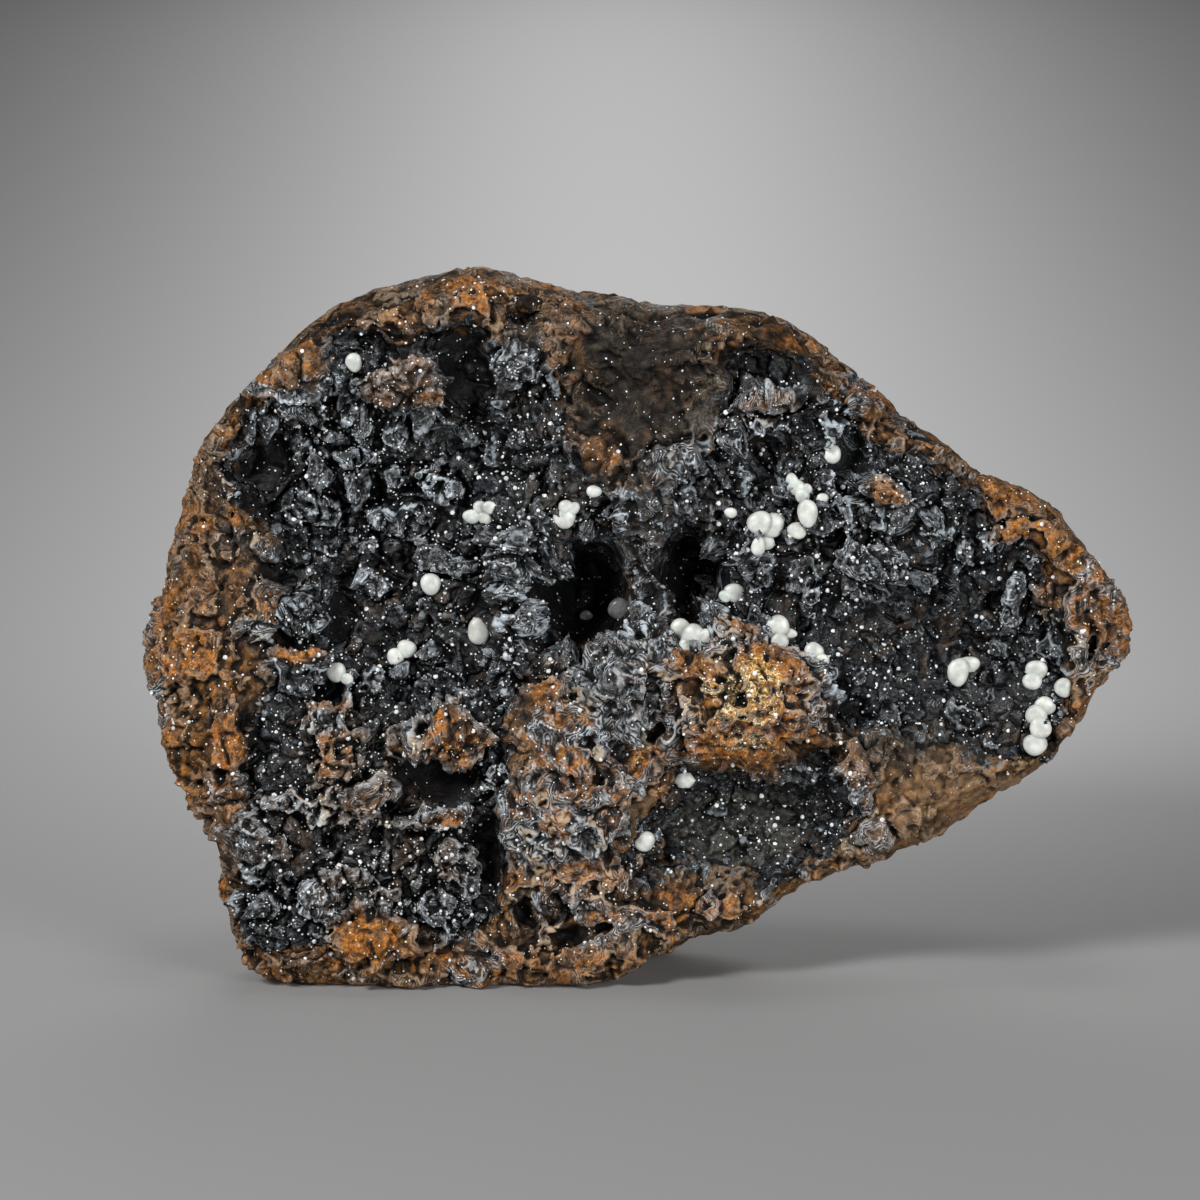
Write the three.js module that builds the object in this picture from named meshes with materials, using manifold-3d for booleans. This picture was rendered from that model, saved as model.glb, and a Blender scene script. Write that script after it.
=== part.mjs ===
// A hand-sized chalcophanite specimen: a lump of rusty limonite broken open on one side. The broken face
// looks towards -Y. Its hollows are lined with black chalcophanite, and white beads sit on that lining.
// Millimetres, +Z up. The lump stands on its flat foot at z = 0, under the middle of its own box.
import * as THREE from "three";
import { mergeVertices } from "three/addons/utils/BufferGeometryUtils.js";
import Module from "manifold-3d";

const WIDTH = 110; // across the whole specimen
const FACE_Y = -12; // depth of the broken face
const FRONT_Y = -21; // the skin would bulge this far forward if the face weren't broken away
const BACK_Y = 24; // rearmost skin
const LOW_EDGE_Y = -10; // depth of the outline's edge at the foot
const HIGH_EDGE_Y = 4; // and at the top
const CRUST = 1.7; // thickness of the black lining, along Y
const GAP = 0.3; // clearance between neighbouring solids
const BEAD_GAP = 0.4; // clearance in front of the surface that a bead sits on, along Y
const FACE_STEP = 3.05; // spacing of the points that shape the face
const SHEER_FROM = 9; // hollows at least this deep have sheer walls and a flat bottom
const SKIN_COLUMNS = 80; // points round the outline
const FRONT_RINGS = 5; // rings of points from the outline to the front
const BACK_RINGS = 7; // and to the back
const CALM_REACH = 7; // columns on each side that smooth the outline towards the back
const FOOT_CUT = 0.5; // how much of the underside the flat foot takes off

// Places were read from a reference picture in pixels, taken from 10 degrees above the horizontal.
const PIXEL = WIDTH / 989;
const MIDDLE_PX = 637.5;
const FOOT_PX = 990;
const LOOK_DOWN = THREE.MathUtils.degToRad(10);

// The outline, clockwise from the top, in pixels.
const OUTLINE = [
  [480, 265], [500, 272], [530, 278], [555, 287], [590, 290], [612, 287], [630, 297], [660, 305],
  [705, 303], [725, 309], [770, 312], [800, 328], [830, 350], [850, 366], [870, 378], [885, 398],
  [902, 420], [935, 430], [950, 445], [975, 470], [1010, 482], [1040, 498], [1062, 510], [1072, 522],
  [1073, 542], [1084, 556], [1108, 562], [1112, 582], [1128, 612], [1132, 635], [1125, 652], [1105, 675],
  [1088, 692], [1085, 712], [1065, 732], [1062, 755], [1040, 772], [1000, 798], [985, 812], [960, 828],
  [920, 850], [890, 858], [860, 868], [810, 876], [790, 888], [775, 905], [765, 918], [740, 928],
  [690, 935], [650, 955], [630, 972], [600, 985], [540, 985], [450, 990], [410, 990], [340, 986],
  [300, 985], [270, 978], [245, 962], [235, 945], [225, 920], [218, 890], [222, 870], [218, 850],
  [205, 825], [190, 805], [175, 780], [160, 760], [155, 735], [155, 710], [148, 690], [143, 660],
  [150, 635], [160, 605], [165, 580], [172, 555], [175, 530], [180, 500], [190, 480], [200, 445],
  [215, 425], [235, 405], [250, 385], [275, 358], [300, 335], [330, 308], [350, 298], [385, 290],
  [420, 280], [450, 270],
];

// What shapes the face: across and down in pixels, half width and half height in pixels, then how far it
// goes in (a hollow) or comes out (a mound, so a minus) in millimetres.
const FEATURES = [
  [385, 560, 175, 260, 6], // the wide left basin
  [262, 462, 36, 52, 5.5],
  [472, 378, 36, 52, 6],
  [340, 600, 44, 36, 5.5],
  [292, 645, 34, 22, 4],
  [490, 630, 28, 44, 4.5],
  [585, 598, 62, 74, 13], // the deep pit left of the septum
  [690, 572, 34, 62, 11], // the deep pit right of it
  [765, 457, 28, 32, 6],
  [845, 457, 22, 32, 5],
  [585, 398, 26, 20, 3.5],
  [438, 772, 58, 34, 6],
  [492, 850, 24, 60, 4],
  [640, 740, 40, 36, 4],
  [545, 908, 28, 24, 3],
  [575, 940, 40, 18, 3],
  [955, 640, 150, 150, 5], // the wide right basin
  [770, 368, 60, 40, 3.5],
  [740, 825, 150, 84, 6.5], // the lower pocket
  [530, 320, 32, 30, 5], // the pocket near the top
  [1092, 645, 18, 36, 3],
  [415, 388, 66, 40, -5.5], // the brown island in the left basin
  [300, 366, 56, 34, -3],
  [312, 612, 34, 30, -4],
  [318, 470, 30, 26, -2.5],
  [362, 480, 30, 30, -3],
  [405, 512, 46, 24, -2.5],
  [445, 485, 30, 26, -2.5],
  [515, 555, 32, 46, -5.5], // the ridge between the left basin and the deep pit
  [513, 640, 32, 56, -4.5],
  [452, 735, 66, 36, -5.5],
  [350, 745, 60, 56, -4.5],
  [372, 790, 44, 34, -2.5],
  [432, 818, 62, 22, -3],
  [300, 670, 44, 18, -3],
  [255, 850, 34, 60, -2.5],
  [320, 880, 44, 34, -2],
  [372, 945, 66, 50, -3.5],
  [618, 672, 74, 42, -6.5], // the layered arch under the deep pit
  [590, 735, 84, 52, -4],
  [600, 820, 110, 80, -4.5],
  [640, 540, 22, 90, -3.5], // the septum between the two pits
  [745, 708, 104, 88, -7.5], // the golden mound
  [650, 480, 70, 60, -1.5],
  [780, 415, 84, 36, -3.5],
  [880, 492, 34, 30, -3],
  [862, 580, 60, 44, -3.5],
  [790, 560, 44, 36, -2],
  [858, 775, 30, 70, -4.5],
  [940, 612, 26, 44, -2],
  [1018, 608, 30, 30, -2],
  [660, 350, 120, 60, -2.5],
];

// The lined parts of the face, as outlines in pixels.
const LINED = {
  crust_left_hollow: [
    [308, 350], [332, 332], [354, 326], [380, 332], [398, 345], [424, 336], [442, 326], [466, 324],
    [484, 334], [502, 352], [530, 358], [556, 378], [574, 405], [566, 450], [572, 478], [604, 486],
    [622, 505], [628, 560], [636, 600], [644, 634], [612, 648], [580, 668], [560, 688], [526, 692],
    [508, 710], [506, 735], [514, 758], [520, 778], [502, 800], [498, 840], [506, 872], [498, 905],
    [488, 935], [468, 945], [440, 936], [415, 938], [400, 918], [375, 902], [345, 904], [325, 925],
    [325, 950], [290, 955], [262, 945], [246, 920], [238, 890], [236, 860], [230, 835], [242, 800],
    [246, 770], [242, 745], [252, 715], [264, 700], [276, 680], [270, 650], [276, 625], [290, 600],
    [286, 575], [272, 548], [262, 525], [266, 505], [258, 490], [235, 482], [224, 465], [228, 445],
    [245, 425], [252, 408], [275, 395], [305, 397], [335, 398], [350, 388], [345, 365], [330, 350],
  ],
  crust_right_hollow: [
    [664, 470], [700, 462], [722, 430], [718, 400], [722, 375], [735, 357], [765, 355], [798, 364],
    [826, 380], [844, 398], [856, 424], [868, 446], [886, 452], [902, 447], [928, 455], [946, 468],
    [968, 488], [980, 502], [978, 515], [1004, 532], [1002, 548], [1040, 558], [1044, 585], [1042, 612],
    [1050, 640], [1062, 665], [1072, 690], [1068, 718], [1054, 742], [1028, 762], [1000, 764],
    [975, 758], [950, 746], [920, 734], [890, 728], [866, 738], [846, 730], [838, 704], [824, 684],
    [795, 664], [770, 650], [742, 630], [716, 642], [700, 655], [672, 654], [660, 625], [662, 585],
    [664, 540], [668, 505],
  ],
  crust_lower_pocket: [
    [672, 756], [700, 766], [730, 776], [760, 772], [790, 760], [815, 746], [836, 752], [850, 772],
    [860, 792], [864, 808], [845, 824], [846, 850], [822, 868], [795, 878], [770, 882], [730, 880],
    [690, 876], [658, 882], [630, 872], [618, 858], [634, 838], [648, 812], [666, 798], [668, 776],
  ],
  crust_top_pocket: [
    [508, 302], [524, 292], [542, 296], [550, 315], [544, 334], [524, 342], [508, 330],
  ],
};

// The white beads, one entry for each cluster grown together: across, down, half width and half height in
// pixels.
const BEADS = {
  bead_below_top_rim: [[358, 364, 8, 9]],
  beads_four_small: [[473, 516, 8, 7], [482, 509, 7, 7], [486, 517, 7, 7], [491, 508, 7, 6]],
  bead_on_tongue: [[594, 491, 7, 6]],
  beads_above_deep_pit: [[565, 518, 11, 10], [566, 507, 7, 7], [574, 508, 6, 6]],
  bead_left_middle: [[432, 583, 10, 10]],
  beads_on_ridge: [[543, 581, 8, 7], [550, 585, 7, 6]],
  bead_beside_ridge: [[479, 631, 10, 13]],
  beads_by_left_ledge: [[338, 671, 9, 10], [349, 678, 6, 6]],
  beads_left_pair: [[397, 656, 8, 9], [408, 648, 9, 9]],
  beads_right_chain_top: [[789, 480, 6, 8], [793, 488, 9, 8], [799, 496, 7, 7], [804, 490, 5, 5]],
  beads_right_notch: [[829, 456, 8, 9], [825, 449, 5, 5]],
  beads_right_great_pair: [[757, 522, 12, 11], [769, 526, 12, 12]],
  beads_right_below_pair: [[756, 546, 7, 9], [764, 543, 8, 7]],
  beads_right_tilted_pair: [[804, 515, 10, 13], [794, 530, 9, 8]],
  bead_right_small_round: [[819, 499, 6, 5]],
  bead_right_small_left: [[729, 512, 6, 5]],
  beads_beside_right_pit: [[680, 629, 12, 12], [692, 633, 12, 12], [687, 645, 10, 9], [704, 634, 8, 8]],
  beads_above_golden_mound: [[733, 591, 10, 9], [724, 592, 6, 6]],
  bead_in_deep_pit: [[619, 607, 11, 10]],
  bead_small_in_deep_pit: [[586, 613, 6, 5]],
  beads_over_golden_mound: [[775, 624, 11, 11], [777, 638, 8, 8], [786, 632, 8, 5]],
  beads_right_of_mound: [[811, 651, 10, 10], [819, 658, 7, 7]],
  beads_right_basin_pair: [[956, 671, 10, 14], [967, 663, 10, 8]],
  beads_right_edge_top: [[1033, 669, 10, 10], [1029, 680, 9, 9]],
  bead_right_edge: [[1059, 686, 9, 9]],
  beads_right_edge_chain: [[1041, 704, 10, 9], [1032, 713, 10, 10], [1036, 727, 10, 11], [1031, 742, 11, 11]],
  bead_six_sided: [[684, 778, 10, 8]],
  bead_lower_pocket: [[644, 838, 10, 10]],
};

const SKIN_COLOUR = 0x6b4526;
const CRUST_COLOUR = 0x15171b;
const BEAD_COLOUR = 0xe4e6de;

const wasm = await Module();
wasm.setup();

// A point of the picture, as a point of the specimen at the given depth.
function place(px, py, y = FACE_Y) {
  const across = (px - MIDDLE_PX) * PIXEL;
  const up = (FOOT_PX - py) * PIXEL;
  return new THREE.Vector3(across, y, (up - (y - LOW_EDGE_Y) * Math.sin(LOOK_DOWN)) / Math.cos(LOOK_DOWN));
}

// A repeatable value from -1 to 1 for each point of a whole-number lattice.
function latticeValue(i, j, k) {
  let h = Math.imul(i, 374761393) ^ Math.imul(j, 668265263) ^ Math.imul(k, 1274126177);
  h = Math.imul(h ^ (h >>> 13), 1103515245);
  return ((h ^ (h >>> 16)) >>> 0) / 2147483648 - 1;
}

// Smooth lumps about one unit across, from the eight lattice points around a place.
function lumps(x, y, z) {
  const [i, j, k] = [x, y, z].map(Math.floor);
  const [u, v, w] = [x - i, y - j, z - k].map((t) => t * t * (3 - 2 * t));
  let sum = 0;
  for (const a of [0, 1])
    for (const b of [0, 1])
      for (const c of [0, 1]) {
        const share = (a ? u : 1 - u) * (b ? v : 1 - v) * (c ? w : 1 - w);
        sum += share * latticeValue(i + a, j + b, k + c);
      }
  return sum;
}

// How far a feature moves the face at a place across and up: all of it in the middle, nothing from its rim
// outwards.
function featureDepth(x, z, [px, py, halfWidth, halfHeight, depth]) {
  const middle = place(px, py, FACE_Y + 0.6 * depth);
  const d2 = ((x - middle.x) / (halfWidth * PIXEL)) ** 2 + ((z - middle.z) / (halfHeight * PIXEL)) ** 2;
  const fall = depth < SHEER_FROM ? d2 : d2 * d2;
  return fall < 1 ? depth * (1 - fall) ** 1.5 : 0;
}

// Depth of the broken face at a place across and up.
function faceDepth(x, z) {
  const rough = 1.2 * lumps(x / 6, 7, z / 6);
  return FEATURES.reduce((sum, feature) => sum + featureDepth(x, z, feature), FACE_Y + rough);
}

// A closed three.js geometry as a manifold-3d solid.
function solidOf(geometry) {
  const bare = geometry.index ? geometry.toNonIndexed() : geometry.clone();
  bare.deleteAttribute("normal");
  bare.deleteAttribute("uv");
  const merged = mergeVertices(bare, 1e-4);
  const mesh = new wasm.Mesh({
    numProp: 3,
    vertProperties: merged.attributes.position.array,
    triVerts: new Uint32Array(merged.index.array),
  });
  return new wasm.Manifold(mesh);
}

// The solid's largest body: what a cut leaves beside it is crumbs.
function mainBody(solid) {
  return solid.decompose().sort((a, b) => b.volume() - a.volume())[0];
}

// The points of the outline, evenly spaced round it.
function outlinePoints() {
  const edge = OUTLINE.map(([px, py]) => {
    const share = (FOOT_PX - py) / (FOOT_PX - OUTLINE[0][1]);
    return place(px, py, THREE.MathUtils.lerp(LOW_EDGE_Y, HIGH_EDGE_Y, share));
  });
  const path = new THREE.CurvePath();
  edge.forEach((point, i) => path.add(new THREE.LineCurve3(point, edge[(i + 1) % edge.length])));
  return Array.from({ length: SKIN_COLUMNS }, (_, i) => path.getPointAt(i / SKIN_COLUMNS));
}

// How sharply the skin turns in front of the outline: a wide slope at the left and the foot, a crisp edge
// at the top.
function frontTurn(edge) {
  const left = THREE.MathUtils.smoothstep(-edge.x, 18, 50);
  const foot = THREE.MathUtils.smoothstep(34 - edge.z, 0, 30);
  const top = THREE.MathUtils.smoothstep(edge.z, 48, 72);
  return 3 - 1.1 * left * (1 - top) - 1.3 * foot * (1 - left) + 2 * top;
}

// A point of the outline with its neighbours' bumps averaged away.
function calmer(edge, i) {
  const sum = new THREE.Vector3();
  for (let k = -CALM_REACH; k <= CALM_REACH; k++) sum.add(edge[(i + k + SKIN_COLUMNS) % SKIN_COLUMNS]);
  return sum.divideScalar(2 * CALM_REACH + 1);
}

// One point of the skin: r rings in front of the outline (a minus) or behind it.
function skinPoint(point, calm, r, pole) {
  const ahead = r < 0;
  const turn = (Math.abs(r) / (ahead ? FRONT_RINGS : BACK_RINGS)) * (Math.PI / 2);
  const power = 2 / (ahead ? frontTurn(point) : 2.5);
  const out = Math.cos(turn) ** power;
  const along = Math.sin(turn) ** power;
  const edge = ahead ? point : point.clone().lerp(calm, Math.min(1, 1.4 * along));
  const p = pole.clone().lerp(edge, out).setY(THREE.MathUtils.lerp(point.y, pole.y, along));
  // Behind the outline's edge the underside bulges down to the ground, further right than the edge itself.
  if (!ahead) p.z -= 13 * Math.sin(2 * turn) * THREE.MathUtils.smoothstep(18 - p.z, 0, 16);
  const away = p.clone().sub(new THREE.Vector3(p.x * 0.5, 2, 36)).normalize();
  const rough = 2.2 * lumps(p.x / 13, p.y / 13, p.z / 13) + 0.9 * lumps(p.x / 5, p.y / 5, p.z / 5);
  return p.addScaledVector(away, rough * (r === 0 ? 0.25 : 1));
}

// The whole lump before its face broke away: rings of points from the front, over the outline, to the back.
function lumpGeometry() {
  const edge = outlinePoints();
  const front = new THREE.Vector3(-4, FRONT_Y, 40);
  const back = new THREE.Vector3(-8, BACK_Y, 33);
  const rings = [];
  for (let r = -FRONT_RINGS + 1; r < BACK_RINGS; r++)
    rings.push(edge.map((point, i) => skinPoint(point, calmer(edge, i), r, r < 0 ? front : back)));
  const points = [front, ...rings.flat(), back];
  const faces = [];
  const at = (ring, column) => 1 + ring * SKIN_COLUMNS + (column % SKIN_COLUMNS);
  for (let c = 0; c < SKIN_COLUMNS; c++) {
    faces.push(0, at(0, c + 1), at(0, c));
    for (let r = 0; r < rings.length - 1; r++) {
      faces.push(at(r, c), at(r + 1, c + 1), at(r + 1, c));
      faces.push(at(r, c), at(r, c + 1), at(r + 1, c + 1));
    }
    faces.push(at(rings.length - 1, c), at(rings.length - 1, c + 1), points.length - 1);
  }
  return new THREE.BufferGeometry().setFromPoints(points).setIndex(faces);
}

// A block whose front follows the broken face, moved back by the given depth, and whose flat rear is far
// behind.
function behindFace(depth) {
  const [left, right, low, high, rear] = [-60, 60, -6, 88, 60];
  const columns = Math.round((right - left) / FACE_STEP);
  const rows = Math.round((high - low) / FACE_STEP);
  const points = [];
  for (const isRear of [false, true])
    for (let r = 0; r <= rows; r++)
      for (let c = 0; c <= columns; c++) {
        const x = THREE.MathUtils.lerp(left, right, c / columns);
        const z = THREE.MathUtils.lerp(low, high, r / rows);
        points.push(new THREE.Vector3(x, isRear ? rear : faceDepth(x, z) + depth, z));
      }
  const at = (isRear, r, c) => ((isRear ? rows + 1 : 0) + r) * (columns + 1) + c;
  const faces = [];
  const quad = (a, b, c, d) => faces.push(a, b, c, a, c, d);
  for (let r = 0; r < rows; r++)
    for (let c = 0; c < columns; c++) {
      quad(at(false, r, c), at(false, r, c + 1), at(false, r + 1, c + 1), at(false, r + 1, c));
      quad(at(true, r, c), at(true, r + 1, c), at(true, r + 1, c + 1), at(true, r, c + 1));
    }
  for (let c = 0; c < columns; c++) {
    quad(at(false, 0, c), at(true, 0, c), at(true, 0, c + 1), at(false, 0, c + 1));
    quad(at(false, rows, c), at(false, rows, c + 1), at(true, rows, c + 1), at(true, rows, c));
  }
  for (let r = 0; r < rows; r++) {
    quad(at(false, r, 0), at(false, r + 1, 0), at(true, r + 1, 0), at(true, r, 0));
    quad(at(false, r, columns), at(true, r, columns), at(true, r + 1, columns), at(false, r + 1, columns));
  }
  return solidOf(new THREE.BufferGeometry().setFromPoints(points).setIndex(faces));
}

// A lined part's outline as a straight prism along Y, grown outwards by the given margin.
function linedPrism(outline, margin) {
  const points = outline.map(([px, py]) => {
    const p = place(px, py);
    return new THREE.Vector2(p.x, p.z);
  });
  const grown = points.map((point, i) => {
    const before = points[(i + points.length - 1) % points.length];
    const after = points[(i + 1) % points.length];
    const along = after.clone().sub(before).normalize();
    return point.clone().add(new THREE.Vector2(-along.y, along.x).multiplyScalar(margin));
  });
  const prism = new THREE.ExtrudeGeometry(new THREE.Shape(grown), { depth: 100, bevelEnabled: false });
  prism.rotateX(Math.PI / 2).translate(0, 50, 0);
  return solidOf(prism);
}

// One named mesh of the specimen.
function piece(name, solid, colour, roughness, metalness) {
  const { vertProperties, triVerts } = solid.getMesh();
  const geometry = new THREE.BufferGeometry();
  geometry.setAttribute("position", new THREE.BufferAttribute(vertProperties, 3));
  geometry.setIndex(new THREE.BufferAttribute(triVerts, 1));
  geometry.computeVertexNormals();
  const material = new THREE.MeshStandardMaterial({ color: colour, roughness, metalness });
  const mesh = new THREE.Mesh(geometry, material);
  mesh.name = name;
  return mesh;
}

// The broken lump on its flat foot, the linings of its hollows, and the lump's own pockets behind them.
const ground = solidOf(new THREE.BoxGeometry(200, 200, 20).translate(0, 0, FOOT_CUT - 10));
const broken = solidOf(lumpGeometry()).intersect(behindFace(0)).subtract(ground);
const underLining = behindFace(CRUST);
const pocketFloor = behindFace(CRUST + GAP);
const solids = {};
let stone = broken;
for (const [name, outline] of Object.entries(LINED)) {
  solids[name] = mainBody(broken.intersect(linedPrism(outline, 0)).subtract(underLining));
  stone = stone.subtract(linedPrism(outline, GAP).subtract(pocketFloor));
}
stone = mainBody(stone);

const specimen = new THREE.Group();
specimen.add(piece("limonite_matrix", stone, SKIN_COLOUR, 0.85, 0));
for (const [name, lining] of Object.entries(solids))
  specimen.add(piece(name, lining, CRUST_COLOUR, 0.4, 0.5));

// What a bead must stay clear of: the stone and its linings, moved forward by the beads' own clearance.
const surface = Object.values(solids).reduce((sum, lining) => sum.add(lining), stone);
const keepOut = surface.translate([0, -BEAD_GAP, 0]);

// The point of the surfaces that the picture shows at a pixel.
function seenPoint(px, py, surfaces) {
  const look = new THREE.Vector3(0, Math.cos(LOOK_DOWN), -Math.sin(LOOK_DOWN));
  return new THREE.Raycaster(place(px, py, -60), look).intersectObjects(surfaces)[0].point;
}

// A bead cluster: flattened balls half sunk in the surface, cut off where they meet it.
function beadCluster(balls, surfaces) {
  const seats = balls.map(([px, py]) => seenPoint(px, py, surfaces));
  const together = seats.reduce((sum, seat) => sum + seat.y, 0) / seats.length;
  const made = balls.map(([, , halfWidth, halfHeight], i) => {
    const thick = 0.85 * Math.min(halfWidth, halfHeight) * PIXEL;
    const [around, up] = halfWidth > 8 ? [7, 4] : [6, 3];
    const ball = new THREE.SphereGeometry(1, around, up);
    ball.rotateX(Math.PI / 2).scale(halfWidth * PIXEL, thick, halfHeight * PIXEL);
    const depth = THREE.MathUtils.lerp(seats[i].y, together, 0.8);
    ball.translate(seats[i].x, depth - 0.35 * thick - BEAD_GAP, seats[i].z);
    return solidOf(ball);
  });
  return mainBody(made.reduce((sum, ball) => sum.add(ball)).subtract(keepOut));
}

const surfaces = [...specimen.children];
surfaces.forEach((mesh) => (mesh.material.side = THREE.DoubleSide));
for (const [name, balls] of Object.entries(BEADS))
  specimen.add(piece(name, beadCluster(balls, surfaces), BEAD_COLOUR, 0.35, 0));

// Stand the specimen over its origin.
const box = new THREE.Box3().setFromObject(specimen);
const middle = box.getCenter(new THREE.Vector3());
specimen.position.set(-middle.x, -middle.y, -box.min.z);

export default specimen;
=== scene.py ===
# %% [markdown]
# # A chalcophanite specimen
# A hand-sized lump of rusty limonite, broken open on one side. The hollows of the broken face are lined
# with a black crystal crust, and waxy white beads sit on that crust. The solids of the lump come ready-made,
# as a plain frame. This lesson lays a fine surface over each of them, piece by piece.

import math
from types import SimpleNamespace

import bmesh
import bpy
import numpy as np
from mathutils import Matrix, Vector
from mathutils.bvhtree import BVHTree


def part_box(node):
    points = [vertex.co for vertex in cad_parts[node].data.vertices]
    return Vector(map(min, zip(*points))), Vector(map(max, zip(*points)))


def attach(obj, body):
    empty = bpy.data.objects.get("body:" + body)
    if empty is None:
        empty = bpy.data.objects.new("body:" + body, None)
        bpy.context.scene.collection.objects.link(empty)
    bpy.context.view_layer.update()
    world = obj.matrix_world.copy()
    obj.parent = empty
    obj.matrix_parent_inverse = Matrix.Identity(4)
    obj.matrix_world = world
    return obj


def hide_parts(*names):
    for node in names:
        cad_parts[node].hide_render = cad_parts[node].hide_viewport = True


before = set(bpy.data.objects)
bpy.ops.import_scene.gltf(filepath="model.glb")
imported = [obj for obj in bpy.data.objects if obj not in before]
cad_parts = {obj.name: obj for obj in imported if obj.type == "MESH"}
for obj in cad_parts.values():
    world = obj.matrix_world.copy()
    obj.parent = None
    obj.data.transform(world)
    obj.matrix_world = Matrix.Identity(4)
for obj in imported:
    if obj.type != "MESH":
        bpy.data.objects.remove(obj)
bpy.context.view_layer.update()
MM = 0.001
print("nodes in the frame:", len(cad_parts))

# %% [markdown]
# ## Where a pixel of the photograph lies
# Placed features, such as a patch of rust, were read off the photograph in pixels. These two functions
# turn a place on the specimen into such a pixel, and a pixel into the line of sight through the specimen.
# One pixel is about a ninth of a millimetre, and the picture was taken from ten degrees above the
# horizontal.

# %% Pixels and places
PIXEL = 110 / 989 * MM
MIDDLE_PX, FOOT_PX = 637.5, 990.0
LOOK_DOWN = math.radians(10)
SIGHT = Vector((0, math.cos(LOOK_DOWN), -math.sin(LOOK_DOWN)))
EDGE_DEPTH = -12.72 * MM
FOOT_LIFT = 0.5 * MM


def seen_at(points):
    """The pixels across and down at which the picture shows these points."""
    up = (points[:, 2] + FOOT_LIFT) * math.cos(LOOK_DOWN) + (points[:, 1] - EDGE_DEPTH) * math.sin(LOOK_DOWN)
    return MIDDLE_PX + points[:, 0] / PIXEL, FOOT_PX - up / PIXEL


def place(px, py, depth=EDGE_DEPTH):
    """The point at a pixel, at the given depth."""
    up = (FOOT_PX - py) * PIXEL - (depth - EDGE_DEPTH) * math.sin(LOOK_DOWN)
    return Vector(((px - MIDDLE_PX) * PIXEL, depth, up / math.cos(LOOK_DOWN) - FOOT_LIFT))


# %% [markdown]
# ## The front of the solids as a map
# The crust and the broken stone share one surface. It is read once, by shooting rays at the solids from the
# front, and kept as a map of depths on a half-millimetre grid. A blur takes the flat facets of the solids
# out of it.

# %% Map the front
CRUSTS = ["crust_left_hollow", "crust_right_hollow", "crust_lower_pocket", "crust_top_pocket"]
MAP_STEP = 0.5 * MM
MAP_LOW = np.array([-57.0, -2.0]) * MM
MAP_SIZE = (168, 230)


def tree_over(meshes):
    """A search tree over the faces of some meshes."""
    verts, faces = [], []
    for mesh in meshes:
        start = len(verts)
        verts += [v.co.copy() for v in mesh.vertices]
        faces += [[start + i for i in p.vertices] for p in mesh.polygons]
    return BVHTree.FromPolygons(verts, faces)


def tree_of(names):
    """A search tree over some nodes of the frame."""
    return tree_over(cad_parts[name].data for name in names)


def blur(values, reach):
    """A soft average over a reach in grid cells, first along one axis and then along the other."""
    span = np.arange(-3 * reach, 3 * reach + 1)
    weights = np.exp(-(span**2) / (2 * reach**2))
    weights /= weights.sum()
    for axis in (0, 1):
        padded = np.pad(values, [(3 * reach,) * 2 if a == axis else (0, 0) for a in (0, 1)], mode="edge")
        values = np.apply_along_axis(np.convolve, axis, padded, weights, "valid")
    return values


def shoot(tree, xs, zs):
    """Depths at which rays from the front meet a tree, as a map with NaN where they miss."""
    depths = np.full((len(zs), len(xs)), np.nan)
    for r, z in enumerate(zs):
        for c, x in enumerate(xs):
            hit = tree.ray_cast(Vector((x, -1, z)), Vector((0, 1, 0)))[0]
            if hit:
                depths[r, c] = hit.y
    return depths


map_xs = MAP_LOW[0] + MAP_STEP * np.arange(MAP_SIZE[1])
map_zs = MAP_LOW[1] + MAP_STEP * np.arange(MAP_SIZE[0])
raw_front = shoot(tree_of(["limonite_matrix", *CRUSTS]), map_xs, map_zs)
on_lump = (~np.isnan(raw_front)).astype(float)
front_map = blur(np.nan_to_num(raw_front), 2) / np.maximum(blur(on_lump, 2), 1e-3)
lined = (~np.isnan(shoot(tree_of(CRUSTS), map_xs, map_zs))).astype(float)
lined_map = blur(lined, 2)
lining_map = blur(lined, 6)


def read_map(values, x, z):
    """A map's value at any place, between its grid points."""
    c = np.clip((x - MAP_LOW[0]) / MAP_STEP, 0, MAP_SIZE[1] - 1.001)
    r = np.clip((z - MAP_LOW[1]) / MAP_STEP, 0, MAP_SIZE[0] - 1.001)
    c0, r0 = c.astype(int), r.astype(int)
    u, v = c - c0, r - r0
    low = values[r0, c0] * (1 - u) + values[r0, c0 + 1] * u
    high = values[r0 + 1, c0] * (1 - u) + values[r0 + 1, c0 + 1] * u
    return low * (1 - v) + high * v


print("front mapped:", int(on_lump.sum()), "of", on_lump.size, "cells are on the lump")

# %% [markdown]
# ## Building node trees
# Geometry and materials both come from node trees, so a few helpers keep them short. They put a node in a
# tree with its settings and inputs, do arithmetic on sockets, make a smooth step and make cloudy noise.

# %% Node helpers
def feed(tree, socket, value):
    """Gives a socket its value, which is a number, a colour, or another node's output socket."""
    if isinstance(value, bpy.types.NodeSocket):
        tree.links.new(value, socket)
    else:
        socket.default_value = value


def put(tree, kind, inputs=None, **settings):
    """A new node with its inputs fed and its settings made."""
    made = tree.nodes.new(kind)
    for name, value in settings.items():
        setattr(made, name, value)
    for name, value in (inputs or {}).items():
        feed(tree, made.inputs[name], value)
    return made


def maths(tree, operation, *values):
    """One arithmetic step on up to three numbers or sockets."""
    return put(tree, "ShaderNodeMath", dict(enumerate(values)), operation=operation).outputs[0]


def ramp(tree, value, low, high, to_low=0.0, to_high=1.0):
    """A smooth step from one value to another as the input goes from low to high."""
    inputs = {"Value": value, "From Min": low, "From Max": high, "To Min": to_low, "To Max": to_high}
    made = put(tree, "ShaderNodeMapRange", inputs, interpolation_type="SMOOTHSTEP")
    return made.outputs["Result"]


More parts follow.
